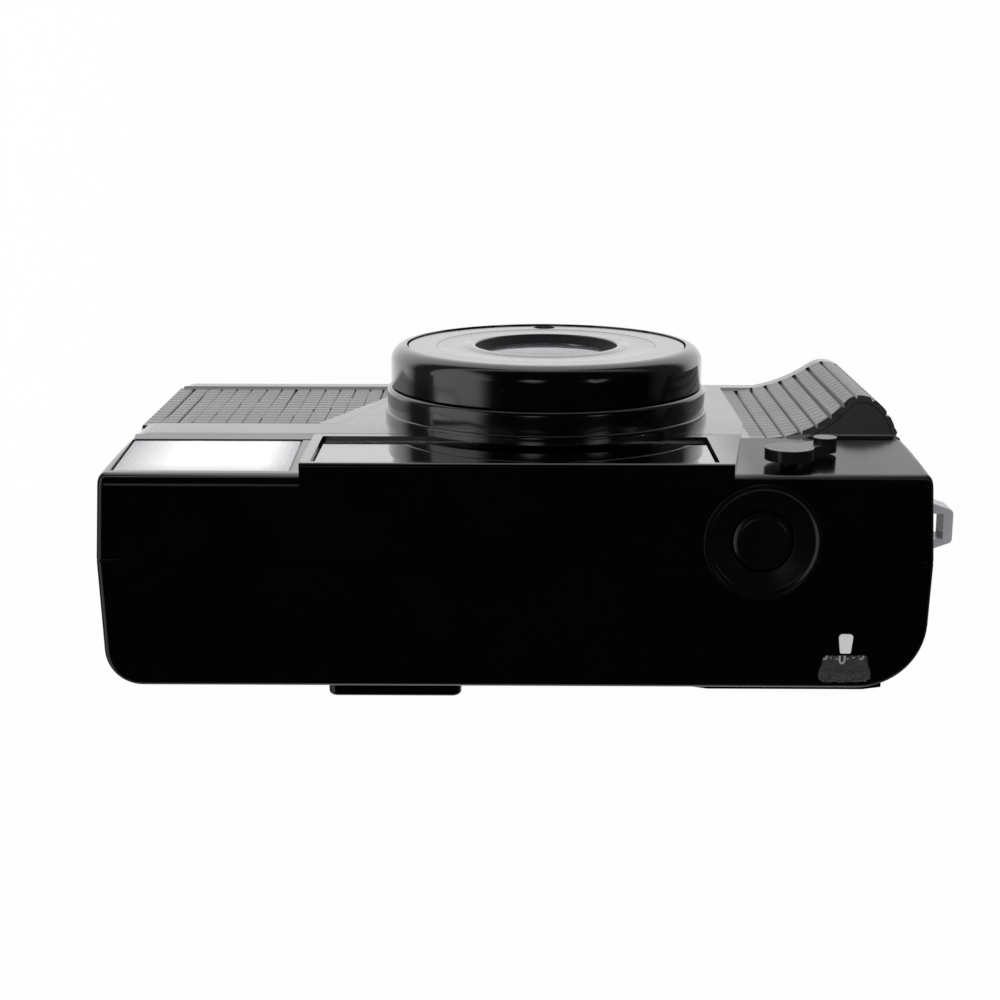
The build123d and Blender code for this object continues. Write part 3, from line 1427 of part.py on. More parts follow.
def shutter_blade(side):
    """Blade that covers one half of the opening, on a pin beside it."""
    y_pair = (blade_low_y[side], blade_low_y[side] + blade_thickness)
    pin_x = lens_x + side * blade_pin_offset
    blade = barrel(lens_x, lens_z, y_pair, blade_radius)
    blade &= block((lens_x - side * blade_lap, lens_x + side * blade_radius), y_pair,
                   (lens_z - blade_radius, lens_z + blade_radius))
    blade += block((lens_x + side * blade_radius / 2, pin_x), y_pair,
                   (lens_z - blade_arm / 2, lens_z + blade_arm / 2))
    blade += barrel(pin_x, lens_z, y_pair, blade_hub_radius)
    return blade - barrel(pin_x, lens_z, (lens_front_y, 0), blade_pin_radius + running_gap)


def shutter_blade_1():
    return shutter_blade(1)


def shutter_blade_2():
    return shutter_blade(-1)


# Pieces under the top cover

def af_module():
    """Focusing module with its two openings."""
    module = block((af_low_x, af_high_x), (mask_rear_y + mask_gap, chassis_front_y), (af_bottom, af_top))
    for x in af_places:
        module -= block((x - af_lens_half, x + af_lens_half),
                        (mask_rear_y - 1, mask_rear_y + mask_gap + af_hole_depth),
                        (af_z - af_lens_half, af_z + af_lens_half))
    return module


def af_lenses():
    """The module's two lenses."""
    lenses = Part()
    half = af_lens_half - seat_gap
    front = mask_rear_y + mask_gap + af_lens_setback
    for x in af_places:
        lens = block((x - half, x + half), (front, front + af_lens_thickness), (af_z - half, af_z + half))
        lenses += chamfer(lens.faces().sort_by(Axis.Y)[0].edges(), window_edge)
    return lenses


def window_mask():
    """Dark mask behind the long window, with an opening for each lens and for the finder."""
    border = strip_ledge + mask_gap
    front = top_inner_y + seat_gap
    mask = block((strip_low_x + border, strip_high_x - border), (front, mask_rear_y),
                 (strip_bottom + mask_rise, strip_top - border))
    mask -= block((finder_low_x + finder_mask, finder_high_x - finder_mask), (front - 1, mask_rear_y + 1),
                  (finder_bottom + finder_mask, finder_top - finder_mask))
    for x in af_places:
        mask -= block((x - af_lens_half, x + af_lens_half), (front - 1, mask_rear_y + 1),
                      (af_z - af_lens_half, af_z + af_lens_half))
    return mask


def window_strip():
    """The long clear window over the finder and the focusing module."""
    strip = block((strip_low_x + seat_gap, strip_high_x - seat_gap),
                  (front_y + strip_recess, front_y + strip_recess + strip_thickness - seat_gap),
                  (strip_bottom + seat_gap, strip_top - seat_gap))
    return chamfer(strip.faces().sort_by(Axis.Y)[0].edges(), strip_edge)


def finder_housing():
    """Square tunnel of the optical finder."""
    tunnel = block((finder_low_x, finder_high_x), (mask_rear_y + mask_gap, finder_rear_y),
                   (finder_bottom, finder_top))
    return tunnel - block((finder_low_x + finder_wall, finder_high_x - finder_wall), (lens_front_y, back_y),
                          (finder_bottom + finder_wall, finder_top - finder_wall))


def finder_front_lens():
    """Front glass of the finder."""
    border = finder_wall + seat_gap
    front = mask_rear_y + mask_gap + finder_glass_setback
    lens = block((finder_low_x + border, finder_high_x - border), (front, front + finder_glass),
                 (finder_bottom + border, finder_top - border))
    return chamfer(lens.faces().sort_by(Axis.Y)[0].edges(), window_edge)


def eyepiece_frame():
    """Raised frame round the finder's rear window."""
    frame = block((eyepiece_low_x, eyepiece_high_x), (finder_rear_y + seat_gap, back_y + eyepiece_proud),
                  (eyepiece_bottom, eyepiece_top))
    frame = fillet(frame.edges().filter_by(Axis.Y), eyepiece_corner)
    frame = fillet(frame.faces().sort_by(Axis.Y)[-1].edges(), eyepiece_edge)
    return frame - block((eyepiece_low_x + eyepiece_rim, eyepiece_high_x - eyepiece_rim),
                         (0, back_y + eyepiece_proud + 1),
                         (eyepiece_bottom + eyepiece_rim, eyepiece_top - eyepiece_rim))


def eyepiece_lens():
    """Glass inside the eyepiece frame."""
    rim = eyepiece_rim + seat_gap
    return block((eyepiece_low_x + rim, eyepiece_high_x - rim),
                 (back_y - eyepiece_sink - finder_glass, back_y - eyepiece_sink),
                 (eyepiece_bottom + rim, eyepiece_top - rim))


def circuit_board():
    """Control board on its two posts, over the wind gears."""
    return block((board_low_x, board_high_x), (chassis_front_y + board_gap_front, board_rear_y),
                 (board_z, board_z + board_thickness))


def board_parts():
    """Chips and the release switch on the board."""
    top = board_z + board_thickness
    front_edge_y = chassis_front_y + board_gap_front
    chips = block((button_x - switch_half_width, button_x + switch_half_width),
                  (button_y - switch_half_depth, button_y + switch_half_depth), (top, top + switch_base))
    chips += post(button_x, button_y, (top, switch_top), switch_pin_radius)
    for low_x, high_x, low_y, high_y, thickness in chip_boxes:
        chips += block((board_low_x + low_x, board_low_x + high_x),
                       (front_edge_y + low_y, front_edge_y + high_y), (top, top + thickness))
    return chips


def release_button():
    """Release button with its retaining flange and stem."""
    flange_low = body_height - top_wall - button_travel - button_flange
    flange_high = flange_low + button_flange
    stem_low = switch_top + button_travel + cover_gap
    return upright(polygon((0, stem_low), (button_stem_radius, stem_low), (button_stem_radius, flange_low),
                           (button_radius + button_flange_reach, flange_low),
                           (button_radius + button_flange_reach, flange_high), (button_radius, flange_high),
                           (button_radius, button_top - button_edge),
                           (button_radius - button_edge, button_top),
                           (0, button_top - button_dish)), button_x, button_y)


def button_ring():
    """Dished ring round the release button."""
    low = body_height - button_ring_depth
    outer = button_ring_radius - seat_gap
    inner = button_radius + free_gap
    top = body_height + button_ring_proud
    return upright(polygon((inner, low), (outer, low), (outer, top), (outer - button_ring_rim, top),
                           (inner, low + button_ring_floor)), button_x, button_y)


def counter_disc():
    """Exposure counter's dial, with a toothed edge."""
    high = body_height - top_wall - counter_gap
    disc = post(counter_x, counter_y, (high - counter_thickness, high), counter_radius)
    for step in range(counter_teeth):
        notch = Rot(Z=step * 360 / counter_teeth) * Pos(counter_radius, 0, high) * Box(*counter_notch)
        disc -= Pos(counter_x, counter_y, 0) * notch
    disc += post(counter_x, counter_y, (high - 2 * counter_thickness, high), counter_hub_radius)
    return disc - post(counter_x, counter_y, (high - counter_pin_length - 1, high + 1),
                       counter_pin_radius + running_gap)


def counter_window():
    high = body_height - counter_window_sink
    return raised(counter_window_outline(), (high - counter_window_thickness, high))


def index_mark():
    """Mark in front of the counter, round at its wide end."""
    return raised(index_outline(), (body_height - index_inlay, body_height + index_proud))


def index_outline(grow=0.0):
    """The mark's shape from above."""
    y = back_y - index_depth
    half = index_width / 2 + grow
    length = index_length / 2 + grow
    return outline([
        (counter_x - half, y - length, half / 2),
        (counter_x + half, y - length, half / 2),
        (counter_x + half * index_narrow, y + length, half / 4),
        (counter_x - half * index_narrow, y + length, half / 4),
    ])


def timer_lever():
    """Self timer lever with its knob, shaft and inner retaining disc."""
    rear = shelf_y + timer_lift
    front = rear - timer_thickness
    lever = barrel(timer_x, timer_z, (front, rear), timer_hub_radius)
    dx = timer_knob_x - timer_x
    dz = timer_knob_z - timer_z
    length = math.hypot(dx, dz)
    angle = math.degrees(math.atan2(dz, dx))
    arm = facing(polygon((0, -timer_arm_half), (length, -timer_arm_half * 0.8),
                         (length, timer_arm_half * 0.8), (0, timer_arm_half)), (front + timer_arm_sink, rear))
    lever += Pos(timer_x, 0, timer_z) * Rot(Y=-angle) * arm
    lever += barrel(timer_knob_x, timer_knob_z, (front - timer_knob_proud, rear), timer_knob_radius)
    disc_y = top_inner_y + mask_gap
    lever += barrel(timer_x, timer_z, (front, disc_y), timer_shaft_radius)
    return lever + barrel(timer_x, timer_z, (disc_y, disc_y + timer_disc), timer_disc_radius)


def flash_window():
    """Frosted front of the flash, following the cover's slope."""
    gap = seat_gap
    slope = (shelf_top_y - shelf_y) / (body_height - front_cover_top)
    low_y = shelf_y + slope * (flash_bottom - front_cover_top) + flash_sink
    high_y = shelf_y + slope * (flash_top - front_cover_top) + flash_sink
    slab = profiled(polygon((low_y, flash_bottom + gap), (low_y + flash_thickness, flash_bottom + gap),
                            (high_y + flash_thickness - 2 * gap, flash_top - gap), (high_y, flash_top - gap)),
                    (flash_low_x + gap, flash_high_x - gap))
    return chamfer(slab.faces().sort_by(Axis.Y)[0].edges(), flash_edge)


def flash_reflector():
    """Trough reflector with closed ends."""
    front = top_inner_y + seat_gap
    outer = trough(reflector_half_height, front, front + reflector_depth)
    inner = trough(reflector_half_height - reflector_wall, front - spring_gap,
                   front + reflector_depth - reflector_wall)
    shell = profiled(outer, (reflector_low_x, reflector_high_x))
    return shell - profiled(inner, (reflector_low_x + reflector_wall, reflector_high_x - reflector_wall))


def trough(half_height, mouth_y, floor_y):
    """Parabolic outline in (y, z) from its mouth to its floor."""
    upper = []
    for step in range(reflector_steps + 1):
        share = 1 - step / reflector_steps
        upper.append((floor_y + (mouth_y - floor_y) * share ** 2, reflector_z + half_height * share))
    lower = [(y, 2 * reflector_z - z) for y, z in reversed(upper[:-1])]
    return polygon(*(upper + lower))


def flash_tube():
    """Flash tube with its two end caps."""
    low, high = reflector_low_x + tube_end_gap, reflector_high_x - tube_end_gap
    tube = rod(tube_y, reflector_z, (low, high), tube_radius)
    for x, way in ((low, 1), (high, -1)):
        tube += rod(tube_y, reflector_z, (x, x + way * tube_cap), tube_radius + tube_cap_rim)
    return tube


def flash_capacitor():
    """Storage capacitor, standing in the flash side of the body."""
    can = post(capacitor_x, capacitor_y, (base_wall, capacitor_top), capacitor_radius)
    return chamfer(can.edges().filter_by(GeomType.CIRCLE), capacitor_edge)


def lug_foot():
    """The strap lug's root in the end wall."""
    return block((-half_width - lug_root, lug_foot_x), (lug_front_y, lug_rear_y), (lug_bottom, lug_top))


def strap_lug():
    """Loop for the wrist strap on the grip side's end."""
    root_x = -half_width - lug_root
    reach = -half_width - lug_reach
    shape = outline([
        (lug_foot_x, lug_rear_y - seat_gap, 0),
        (root_x, lug_rear_y - seat_gap, 0),
        (reach, lug_rear_y - lug_slope, lug_corner),
        (reach, lug_front_y + lug_slope, lug_corner),
        (root_x, lug_front_y + seat_gap, 0),
        (lug_foot_x, lug_front_y + seat_gap, 0),
    ])
    bar = block((reach, root_x), (lug_front_y, lug_rear_y), (lug_bottom + lug_step, lug_top - lug_step))
    root = block((root_x, lug_foot_x), (lug_front_y, lug_rear_y), (lug_bottom + seat_gap, lug_top - seat_gap))
    loop = raised(shape, (lug_bottom, lug_top)) & (bar + root)
    return loop - block((root_x - lug_root_wall, reach + lug_bar),
                        (lug_front_y + lug_rim, lug_rear_y - lug_rim), (lug_bottom - 1, lug_top + 1))


def rewind_button():
    """Button in the base that starts the rewind early."""
    low = base_wall + rewind_flange_gap
    high = low + rewind_flange
    button = post(rewind_button_x, rewind_button_y, (rewind_button_sink, high), rewind_button_radius)
    flange_radius = rewind_button_radius + rewind_flange_reach
    return button + post(rewind_button_x, rewind_button_y, (low, high), flange_radius)


pieces = {
    "top_cover": top_cover,
    "front_cover": front_cover,
    "base_cover": base_cover,
    "left_ribbed_panel": left_ribbed_panel,
    "right_ribbed_panel": right_ribbed_panel,
    "tripod_bush": tripod_bush,
    "base_screws": base_screws,
    "battery_cover": battery_cover,
    "battery_holder": battery_holder,
    "battery_cells": battery_cells,
    "battery_contacts": battery_contacts,
    "back_door": back_door,
    "door_hinge_pin": door_hinge_pin,
    "door_latch": door_latch,
    "pressure_plate": pressure_plate,
    "pressure_spring": pressure_spring,
    "chassis": chassis,
    "light_box": light_box,
    "film_gate": film_gate,
    "take_up_spool": take_up_spool,
    "wind_motor": wind_motor,
    "sprocket": sprocket,
    "rewind_fork": rewind_fork,
    "spool_gear": spool_gear,
    "sprocket_gear": sprocket_gear,
    "idler_gear": idler_gear,
    "motor_pinion": motor_pinion,
    "rewind_gear": rewind_gear,
    "base_ring": base_ring,
    "film_speed_ring": film_speed_ring,
    "lens_face": lens_face,
    "sensor_window": sensor_window,
    "shutter_housing": shutter_housing,
    "focus_cell": focus_cell,
    "front_element": front_element,
    "rear_element": rear_element,
    "shutter_blade_1": shutter_blade_1,
    "shutter_blade_2": shutter_blade_2,
    "af_module": af_module,
    "af_lenses": af_lenses,
    "window_mask": window_mask,
    "window_strip": window_strip,
    "finder_housing": finder_housing,
    "finder_front_lens": finder_front_lens,
    "eyepiece_frame": eyepiece_frame,
    "eyepiece_lens": eyepiece_lens,
    "circuit_board": circuit_board,
    "board_parts": board_parts,
    "release_button": release_button,
    "button_ring": button_ring,
    "counter_disc": counter_disc,
    "counter_window": counter_window,
    "index_mark": index_mark,
    "timer_lever": timer_lever,
    "flash_window": flash_window,
    "flash_reflector": flash_reflector,
    "flash_tube": flash_tube,
    "flash_capacitor": flash_capacitor,
    "strap_lug": strap_lug,
    "rewind_button": rewind_button,
}

os.makedirs("parts", exist_ok=True)
for name, make in pieces.items():
    export_step(Pos(-socket_x, 0, 0) * make(), f"parts/{name}.step")
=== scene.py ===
import json
import math

import bmesh
import bpy
from mathutils import Matrix, Vector


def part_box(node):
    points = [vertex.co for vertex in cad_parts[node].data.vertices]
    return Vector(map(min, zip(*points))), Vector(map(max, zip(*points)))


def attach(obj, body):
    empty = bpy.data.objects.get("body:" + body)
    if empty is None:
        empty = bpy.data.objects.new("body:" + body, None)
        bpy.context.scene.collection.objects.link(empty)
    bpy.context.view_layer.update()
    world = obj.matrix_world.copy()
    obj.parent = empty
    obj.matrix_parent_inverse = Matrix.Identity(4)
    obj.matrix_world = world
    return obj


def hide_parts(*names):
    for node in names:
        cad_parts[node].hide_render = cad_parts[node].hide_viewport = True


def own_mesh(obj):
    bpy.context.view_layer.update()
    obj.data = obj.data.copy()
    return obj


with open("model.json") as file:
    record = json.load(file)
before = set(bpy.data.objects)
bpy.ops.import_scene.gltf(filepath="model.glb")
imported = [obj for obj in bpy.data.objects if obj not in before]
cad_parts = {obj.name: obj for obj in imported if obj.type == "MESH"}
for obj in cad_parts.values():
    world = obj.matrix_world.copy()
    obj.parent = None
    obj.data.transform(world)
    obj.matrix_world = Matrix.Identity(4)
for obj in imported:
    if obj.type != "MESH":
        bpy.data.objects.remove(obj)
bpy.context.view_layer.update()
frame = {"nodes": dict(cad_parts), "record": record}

nodes = frame["nodes"]

# Measures, in metres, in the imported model's frame: X to the flash side, Y to the back and Z up
MM = 0.001
HAIR = 0.01 * MM                       # keeps one face just clear of another
TOUCH = 0.001 * MM                     # places nearer than this count as one

base_low, base_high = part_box("base_ring")
panel_low, panel_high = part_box("left_ribbed_panel")
grip_low, grip_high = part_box("right_ribbed_panel")
flash_low, flash_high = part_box("flash_window")
ring_low, ring_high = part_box("button_ring")
button_low, button_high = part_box("release_button")

LENS_AXIS = (base_low + base_high) / 2
PLATE_Y = base_high.y                  # front of the plate that the lens stands on
BARREL_RADIUS = (base_high.x - base_low.x) / 2
BARREL_STEP_Y = PLATE_Y - 5.4 * MM     # front of the fixed ring
BARREL_BORE = 21.6 * MM
BARREL_SIDES = 160
RIM_Y = base_low.y                     # front of the rim that the turning ring runs on
RIM_RADIUS = 24.4 * MM
COLLAR_RADIUS = BARREL_RADIUS + 0.4 * MM
COLLAR_Y = PLATE_Y - 1.5 * MM

FACE_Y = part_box("lens_face")[0].y
FACE_STEP = 0.35 * MM                  # depth of each of the face's two steps
STEP_RADII = (19.15 * MM, 14.45 * MM)
FACE_SIDES = 128
DISH_DEPTH = 0.13 * MM
LIP_RADIUS = 12.45 * MM                # opening of the funnel
LIP_RISE = 0.1 * MM                    # how far the funnel's lip stands in front of the face
GLASS_Y = FACE_Y + 1.2 * MM            # front glass in the funnel
GLASS_RADIUS = 9.9 * MM
GLASS_BULGE = 0.1 * MM
GLASS_DOME = ((0.86, 0.26), (0.66, 0.56), (0.4, 0.84), (0.18, 0.97))   # of radius and of bulge
GLASS_THICKNESS = 0.6 * MM
GLASS_SIDES = 96
SEAT_GAP = 0.02 * MM                   # round the glass, and between the lip and its lining

BUTTON_AXIS = (ring_low + ring_high) / 2
SURROUND_RADIUS = (ring_high.x - ring_low.x) / 2
SURROUND_BORE = 5.0 * MM
BUTTON_RADIUS = 4.7 * MM
STEM_RADIUS = 1.5 * MM
FLANGE_RADIUS = 5.6 * MM
FLANGE_DEPTH = 4.1 * MM                # middle of the button's flange below its top
FLANGE_HALF = 0.4 * MM
BUTTON_SIDES = 96

# Grooves: pitch, half of the width at the surface, and depth
RIDGES = (2.5 * MM, 0.6 * MM, 0.1 * MM)          # fine steps across both ribbed panels
RIBS = (2.9 * MM, 0.55 * MM, 0.5 * MM)           # upright grooves of the flash side panel
FLUTES = (0.95 * MM, 0.3 * MM, 0.1 * MM)         # upright flutes of the flash window
FLUTE_MARGIN = 0.6 * MM                # plain border at the ends of the flutes
FRONT = Vector((-0.45, -0.89, 0.0))    # outwards on the plate and on the grip's flank alike
FACING = 0.25                          # least lean towards FRONT of a face that is grooved
GROOVE_CREASE = 14.0                   # degrees at which an edge shows as crisp
TURNED_CREASE = 40.0

NUMBER_RADIUS = 5.8 * MM               # exposure numbers round the counter's axis
NUMBER_SIZE = 2.5 * MM
NUMBER_BOLDNESS = 0.05 * MM
NUMBER_RISE = 0.03 * MM
NUMBER_STEP = 3                        # frames from one number to the next
COUNTER_FRAMES = 40
LAST_NUMBER = 36
DOT_RADIUS = 0.14 * MM
DOT_SIDES = 10

PANEL_FRONT_Y = panel_low.y
PANEL_FOOT = Vector((panel_low.x, PLATE_Y, panel_low.z))
PANEL_RISE = panel_high.z - panel_low.z
PANEL_SLANT = 11.0 * MM                # how far the panel's seat leans over its height
PLATE_SLANT = 14.8 * MM                # how far the plate's edge over it leans
PANEL_DROP = PANEL_FRONT_Y - PLATE_Y   # from the plate back to the panel's front
EDGE_WIDTH = 0.7 * MM                  # sloping edge beside the panel's slant
COVER_TOP_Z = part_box("front_cover")[1].z
SHELF_Y = PLATE_Y + 0.4 * MM           # foot of the cover's front beside the middle block
BLOCK_EDGE_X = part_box("window_strip")[1].x + 1.6 * MM      # flash side end of the middle block
STRIP_RISE = 1.95 * MM                 # height of the strip under the flash window
GRIP_SLOPE_FOOT = Vector((0.0, grip_low.y, 41.5 * MM))
GRIP_SLOPE_HEAD = Vector((0.0, SHELF_Y, COVER_TOP_Z))
LEDGE_RISE = 1.3 * MM                  # height of the slopes that close the base's ledges
LEDGE_SPANS = ((panel_low.x + 0.3 * MM, panel_high.x - 0.9 * MM), (-1.2 * MM, grip_high.x))


# Shader graphs

class Field:
    """An output socket on which Python's operators add Math nodes."""

    def __init__(self, graph, socket):
        self.graph = graph
        self.socket = socket

    def math(self, operation, *values):
        return self.graph.node("ShaderNodeMath", {"operation": operation},
                               dict(enumerate(values)))

    def __add__(self, other):
        return self.math("ADD", self, other)

    def __radd__(self, other):
        return self.math("ADD", other, self)

    def __sub__(self, other):
        return self.math("SUBTRACT", self, other)

    def __rsub__(self, other):
        return self.math("SUBTRACT", other, self)

    def __mul__(self, other):
        return self.math("MULTIPLY", self, other)

    def __rmul__(self, other):
        return self.math("MULTIPLY", other, self)

    def most(self, other):
        return self.math("MAXIMUM", self, other)

    def other(self, name):
        """Another output of the same node."""
        return Field(self.graph, self.socket.node.outputs[name])


class Graph:
    """A node tree, with methods that add its nodes."""

    def __init__(self, tree):
        self.tree = tree

    def node(self, kind, settings=None, inputs=None, output=0):
        """Adds a node, its settings first and then its sockets, and returns one output."""
        made = self.tree.nodes.new(kind)
        for key, value in (settings or {}).items():
            setattr(made, key, value)
        for key, value in (inputs or {}).items():
            if isinstance(value, Field):
                self.tree.links.new(value.socket, made.inputs[key])
            else:
                made.inputs[key].default_value = value
        return Field(self, made.outputs[output])

    def ramp(self, value, start, end, first, last):
        """A value that goes from the first to the last number between two places."""
        return self.node("ShaderNodeMapRange", {"clamp": True}, {
            "Value": value, "From Min": start, "From Max": end, "To Min": first, "To Max": last})

    def split(self, vector):
        """A vector's X. Its Y and Z are other outputs of the same node."""
        return self.node("ShaderNodeSeparateXYZ", inputs={0: vector})

    def dot(self, first, second):
        return self.node("ShaderNodeVectorMath", {"operation": "DOT_PRODUCT"},
                         {0: first, 1: second}, output="Value")


class Finish(Graph):
    """A material of one Principled shader and the nodes that vary it over a surface."""

    def __init__(self, name, **constants):
        self.material = bpy.data.materials.new(name)
        self.material.use_nodes = True
        super().__init__(self.material.node_tree)
        self.shader = self.tree.nodes["Principled BSDF"]
        for socket, value in constants.items():
            self.shader.inputs[socket.replace("_", " ")].default_value = value

    def place(self):
        """The position on the object, in metres."""
        return self.node("ShaderNodeTexCoord", output="Object")

    def grain(self, size, detail=2.0):
        """Noise between 0 and 1 whose grain is about the given size in metres."""
        return self.node("ShaderNodeTexNoise", inputs={
            "Vector": self.place(), "Scale": 1.0 / size, "Detail": detail})

    def specks(self, rarity):
        """Soft-edged specks of dust, where fine noise passes a value."""
        return self.ramp(self.grain(SPECK_SIZE, PLAIN), rarity, rarity + SPECK_EDGE, 0.0, 1.0)

    def mix(self, share, first, second):
        """A colour between two others."""
        return self.node("ShaderNodeMix", {"data_type": "RGBA"},
                         {"Factor": share, "A": first, "B": second}, output="Result")

    def feed(self, socket, field):
        self.tree.links.new(field.socket, self.shader.inputs[socket])

    def bump(self, height, distance):
        """Raises the surface by a height field, at a distance in metres."""
        self.feed("Normal", self.node("ShaderNodeBump", inputs={
            "Height": height, "Distance": distance, "Strength": 1.0}))

    def blend(self, share, shader):
        """Goes over to another shader where the share is 1."""
        mixed = self.node("ShaderNodeMixShader", inputs={
            0: share, 1: Field(self, self.shader.outputs[0]), 2: shader})
        self.tree.links.new(mixed.socket, self.tree.nodes["Material Output"].inputs["Surface"])


# Finishes

PLAIN = 1.0                            # detail of the noise in fine grain
RICH = 3.0                             # and in broad patches
MID_NOISE = 0.5
PATCH_SIZE = 14 * MM                   # patches that handling made smoother
PATCH_CHANGE = 0.16                    # how far they move the roughness
RUB_SIZE = 1.3 * MM
RUB_CHANGE = 0.08
SPECK_SIZE = 0.45 * MM
SPECK_EDGE = 0.05
DUST_ROUGHNESS = 0.2
BRUSH_SIZE = 2.2 * MM
BRUSH_STRETCH = (1.0, 1.0, 14.0)
BRUSH_CHANGE = 0.14
SLOPE_REACH = 0.2 * MM                 # painted shade covers a skin's cut face on the grip's slope within this
# share of painted shade on the floors of the upright grooves
GROOVE_SHADE = 0.8
COATED_FRONT = PLATE_Y + 2.6 * MM      # the coat on the top cover ends here, to the back,
COATED_TOP = 73.2 * MM                 # upwards
COATED_SIDE = (6 * MM, 14 * MM)        # and towards the grip
COAT_FADE = 0.6 * MM


def rgb(red, green, blue):
    return (red, green, blue, 1.0)


def moulded(name, colour, roughness, grain_size, grain_depth, dust=0.004, painted_shade=None, **constants):
    """Moulded plastic: fine spark grain, patches that handling made smoother, a little dust, and
    painted shade where a given mask is 1.
    """
    finish = Finish(name, **constants)
    # painted shade: dark matt black blended in where the given mask is 1
    if painted_shade:
        dulled(finish, painted_shade(finish))
    cloud = finish.grain(PATCH_SIZE, RICH)
    paler = rgb(*(min(1.0, part * 1.4 + 0.0004) for part in colour[:3]))
    dusty = rgb(*(min(1.0, part + dust) for part in colour[:3]))
    specks = finish.specks(0.73)
    finish.feed("Base Color", finish.mix(specks, finish.mix(cloud, colour, paler), dusty))
    rubbed = finish.grain(RUB_SIZE)
    finish.feed("Roughness", roughness + (cloud - MID_NOISE) * PATCH_CHANGE
                + (rubbed - MID_NOISE) * RUB_CHANGE + specks * DUST_ROUGHNESS)
    finish.bump(finish.grain(grain_size, PLAIN), grain_depth)
    return finish.material


def bare_metal(name, colour, roughness):
    """Plated or turned metal with fine brushing and a few duller patches."""
    finish = Finish(name, Metallic=1.0)
    brushed = finish.node("ShaderNodeMapping", inputs={
        "Vector": finish.place(), "Scale": BRUSH_STRETCH})
    lines = finish.node("ShaderNodeTexNoise", inputs={
        "Vector": brushed, "Scale": 1 / BRUSH_SIZE, "Detail": RICH})
    duller = rgb(*(part * 0.72 for part in colour[:3]))
    finish.feed("Base Color", finish.mix(finish.grain(5 * MM), colour, duller))
    finish.feed("Roughness", roughness + (lines - MID_NOISE) * BRUSH_CHANGE)
    finish.bump(lines, 0.004 * MM)
    return finish.material


def clear(name, tint, roughness=0.02, **constants):
    """Clear moulded window or ground glass with faint smears."""
    finish = Finish(name, Transmission_Weight=1.0, **constants)
    smear = finish.grain(6 * MM, RICH)
    darker = rgb(*(part * 0.94 for part in tint[:3]))
    finish.feed("Base Color", finish.mix(smear, tint, darker))
    finish.feed("Roughness", roughness + smear * 0.03)
    return finish.material


def dulled(finish, share):
    """Painted shade: goes over to a dark, matt, weakly reflecting black where the share is 1."""
    finish.blend(share, finish.node("ShaderNodeBsdfPrincipled", inputs={
        "Base Color": rgb(0.006, 0.005, 0.006), "Roughness": 0.62, "Specular IOR Level": 0.3}))


def on_grip_slope(finish):
    """Mask of painted shade: 1 on the plane of the grip's sloping end, in front of the plate, so
    that the slope is painted dark.
    """
    along = (GRIP_SLOPE_HEAD - GRIP_SLOPE_FOOT).normalized()
    outward = Vector((0.0, -along.z, along.y))
    centred = finish.node("ShaderNodeVectorMath", {"operation": "SUBTRACT"},
                          {0: finish.place(), 1: GRIP_SLOPE_FOOT})
    height = finish.dot(centred, outward)
    near = finish.ramp(height.math("ABSOLUTE", height), SLOPE_REACH, SLOPE_REACH * 1.4, 1.0, 0.0)
    depth = finish.split(finish.place()).other("Y")
    return near * finish.ramp(depth, PLATE_Y - 0.2 * MM, PLATE_Y + 0.1 * MM, 1.0, 0.0)


def in_upright_groove(finish):
    """Painted shade: darkens the floors of the flash side panel's upright grooves to stand in for
    the shade inside them.
    """
    depth = finish.split(finish.place()).other("Y")
    return finish.ramp(depth, PANEL_FRONT_Y + 0.12 * MM, PANEL_FRONT_Y + 0.24 * MM,
                       0.0, GROOVE_SHADE)


def top_finish():
    """Gloss black top; the window side of its front is coated like the plate below it."""
    finish = Finish("gloss_black", Coat_Roughness=0.12, Coat_IOR=1.6)
    place = finish.split(finish.place())
    front = finish.ramp(place.other("Y"), COATED_FRONT, COATED_FRONT + COAT_FADE, 1.0, 0.0)
    low = finish.ramp(place.other("Z"), COATED_TOP, COATED_TOP + COAT_FADE, 1.0, 0.0)
    finish.feed("Coat Weight", front * low * finish.ramp(place, *COATED_SIDE, 0.0, 1.0))
    cloud = finish.grain(PATCH_SIZE, RICH)
    specks = finish.specks(0.74)
    clean = finish.mix(cloud, rgb(0.0005, 0.0005, 0.0007), rgb(0.0009, 0.0009, 0.0011))
    finish.feed("Base Color", finish.mix(specks, clean, rgb(0.0018, 0.0018, 0.002)))
    finish.feed("Roughness", 0.16 + (cloud - MID_NOISE) * 0.14 + specks * DUST_ROUGHNESS)
    finish.bump(finish.grain(0.5 * MM, PLAIN), 0.003 * MM)
    return finish.material


def flash_diffuser():
    """Frosted flash front with painted light: its middle painted white and its ends and top edge
    painted grey, as the reflector behind lights it, with a little fine grain.
    """
    finish = Finish("flash_diffuser", Coat_Weight=0.5, Coat_Roughness=0.1)
    across = finish.split(finish.place())
    # painted light and shade: white in the middle, grey towards both ends and the top edge
    ends = (finish.ramp(across, flash_low.x, flash_low.x + 5 * MM, 0.0, 1.0)
            * finish.ramp(across, flash_high.x - 9 * MM, flash_high.x - 0.5 * MM, 1.0, 0.0))
    middle = finish.ramp(across.other("Z"), flash_high.z - 4.5 * MM, flash_high.z, 1.0, 0.35)
    grain = finish.grain(1.1 * MM)
    painted_glow = ends * middle * (0.94 + grain * 0.06)
    finish.feed("Base Color", finish.mix(painted_glow, rgb(0.34, 0.33, 0.35), rgb(0.96, 0.95, 0.97)))
    finish.feed("Roughness", 0.28 + grain * 0.1)
    finish.bump(finish.grain(0.3 * MM, PLAIN), 0.006 * MM)
    return finish.material


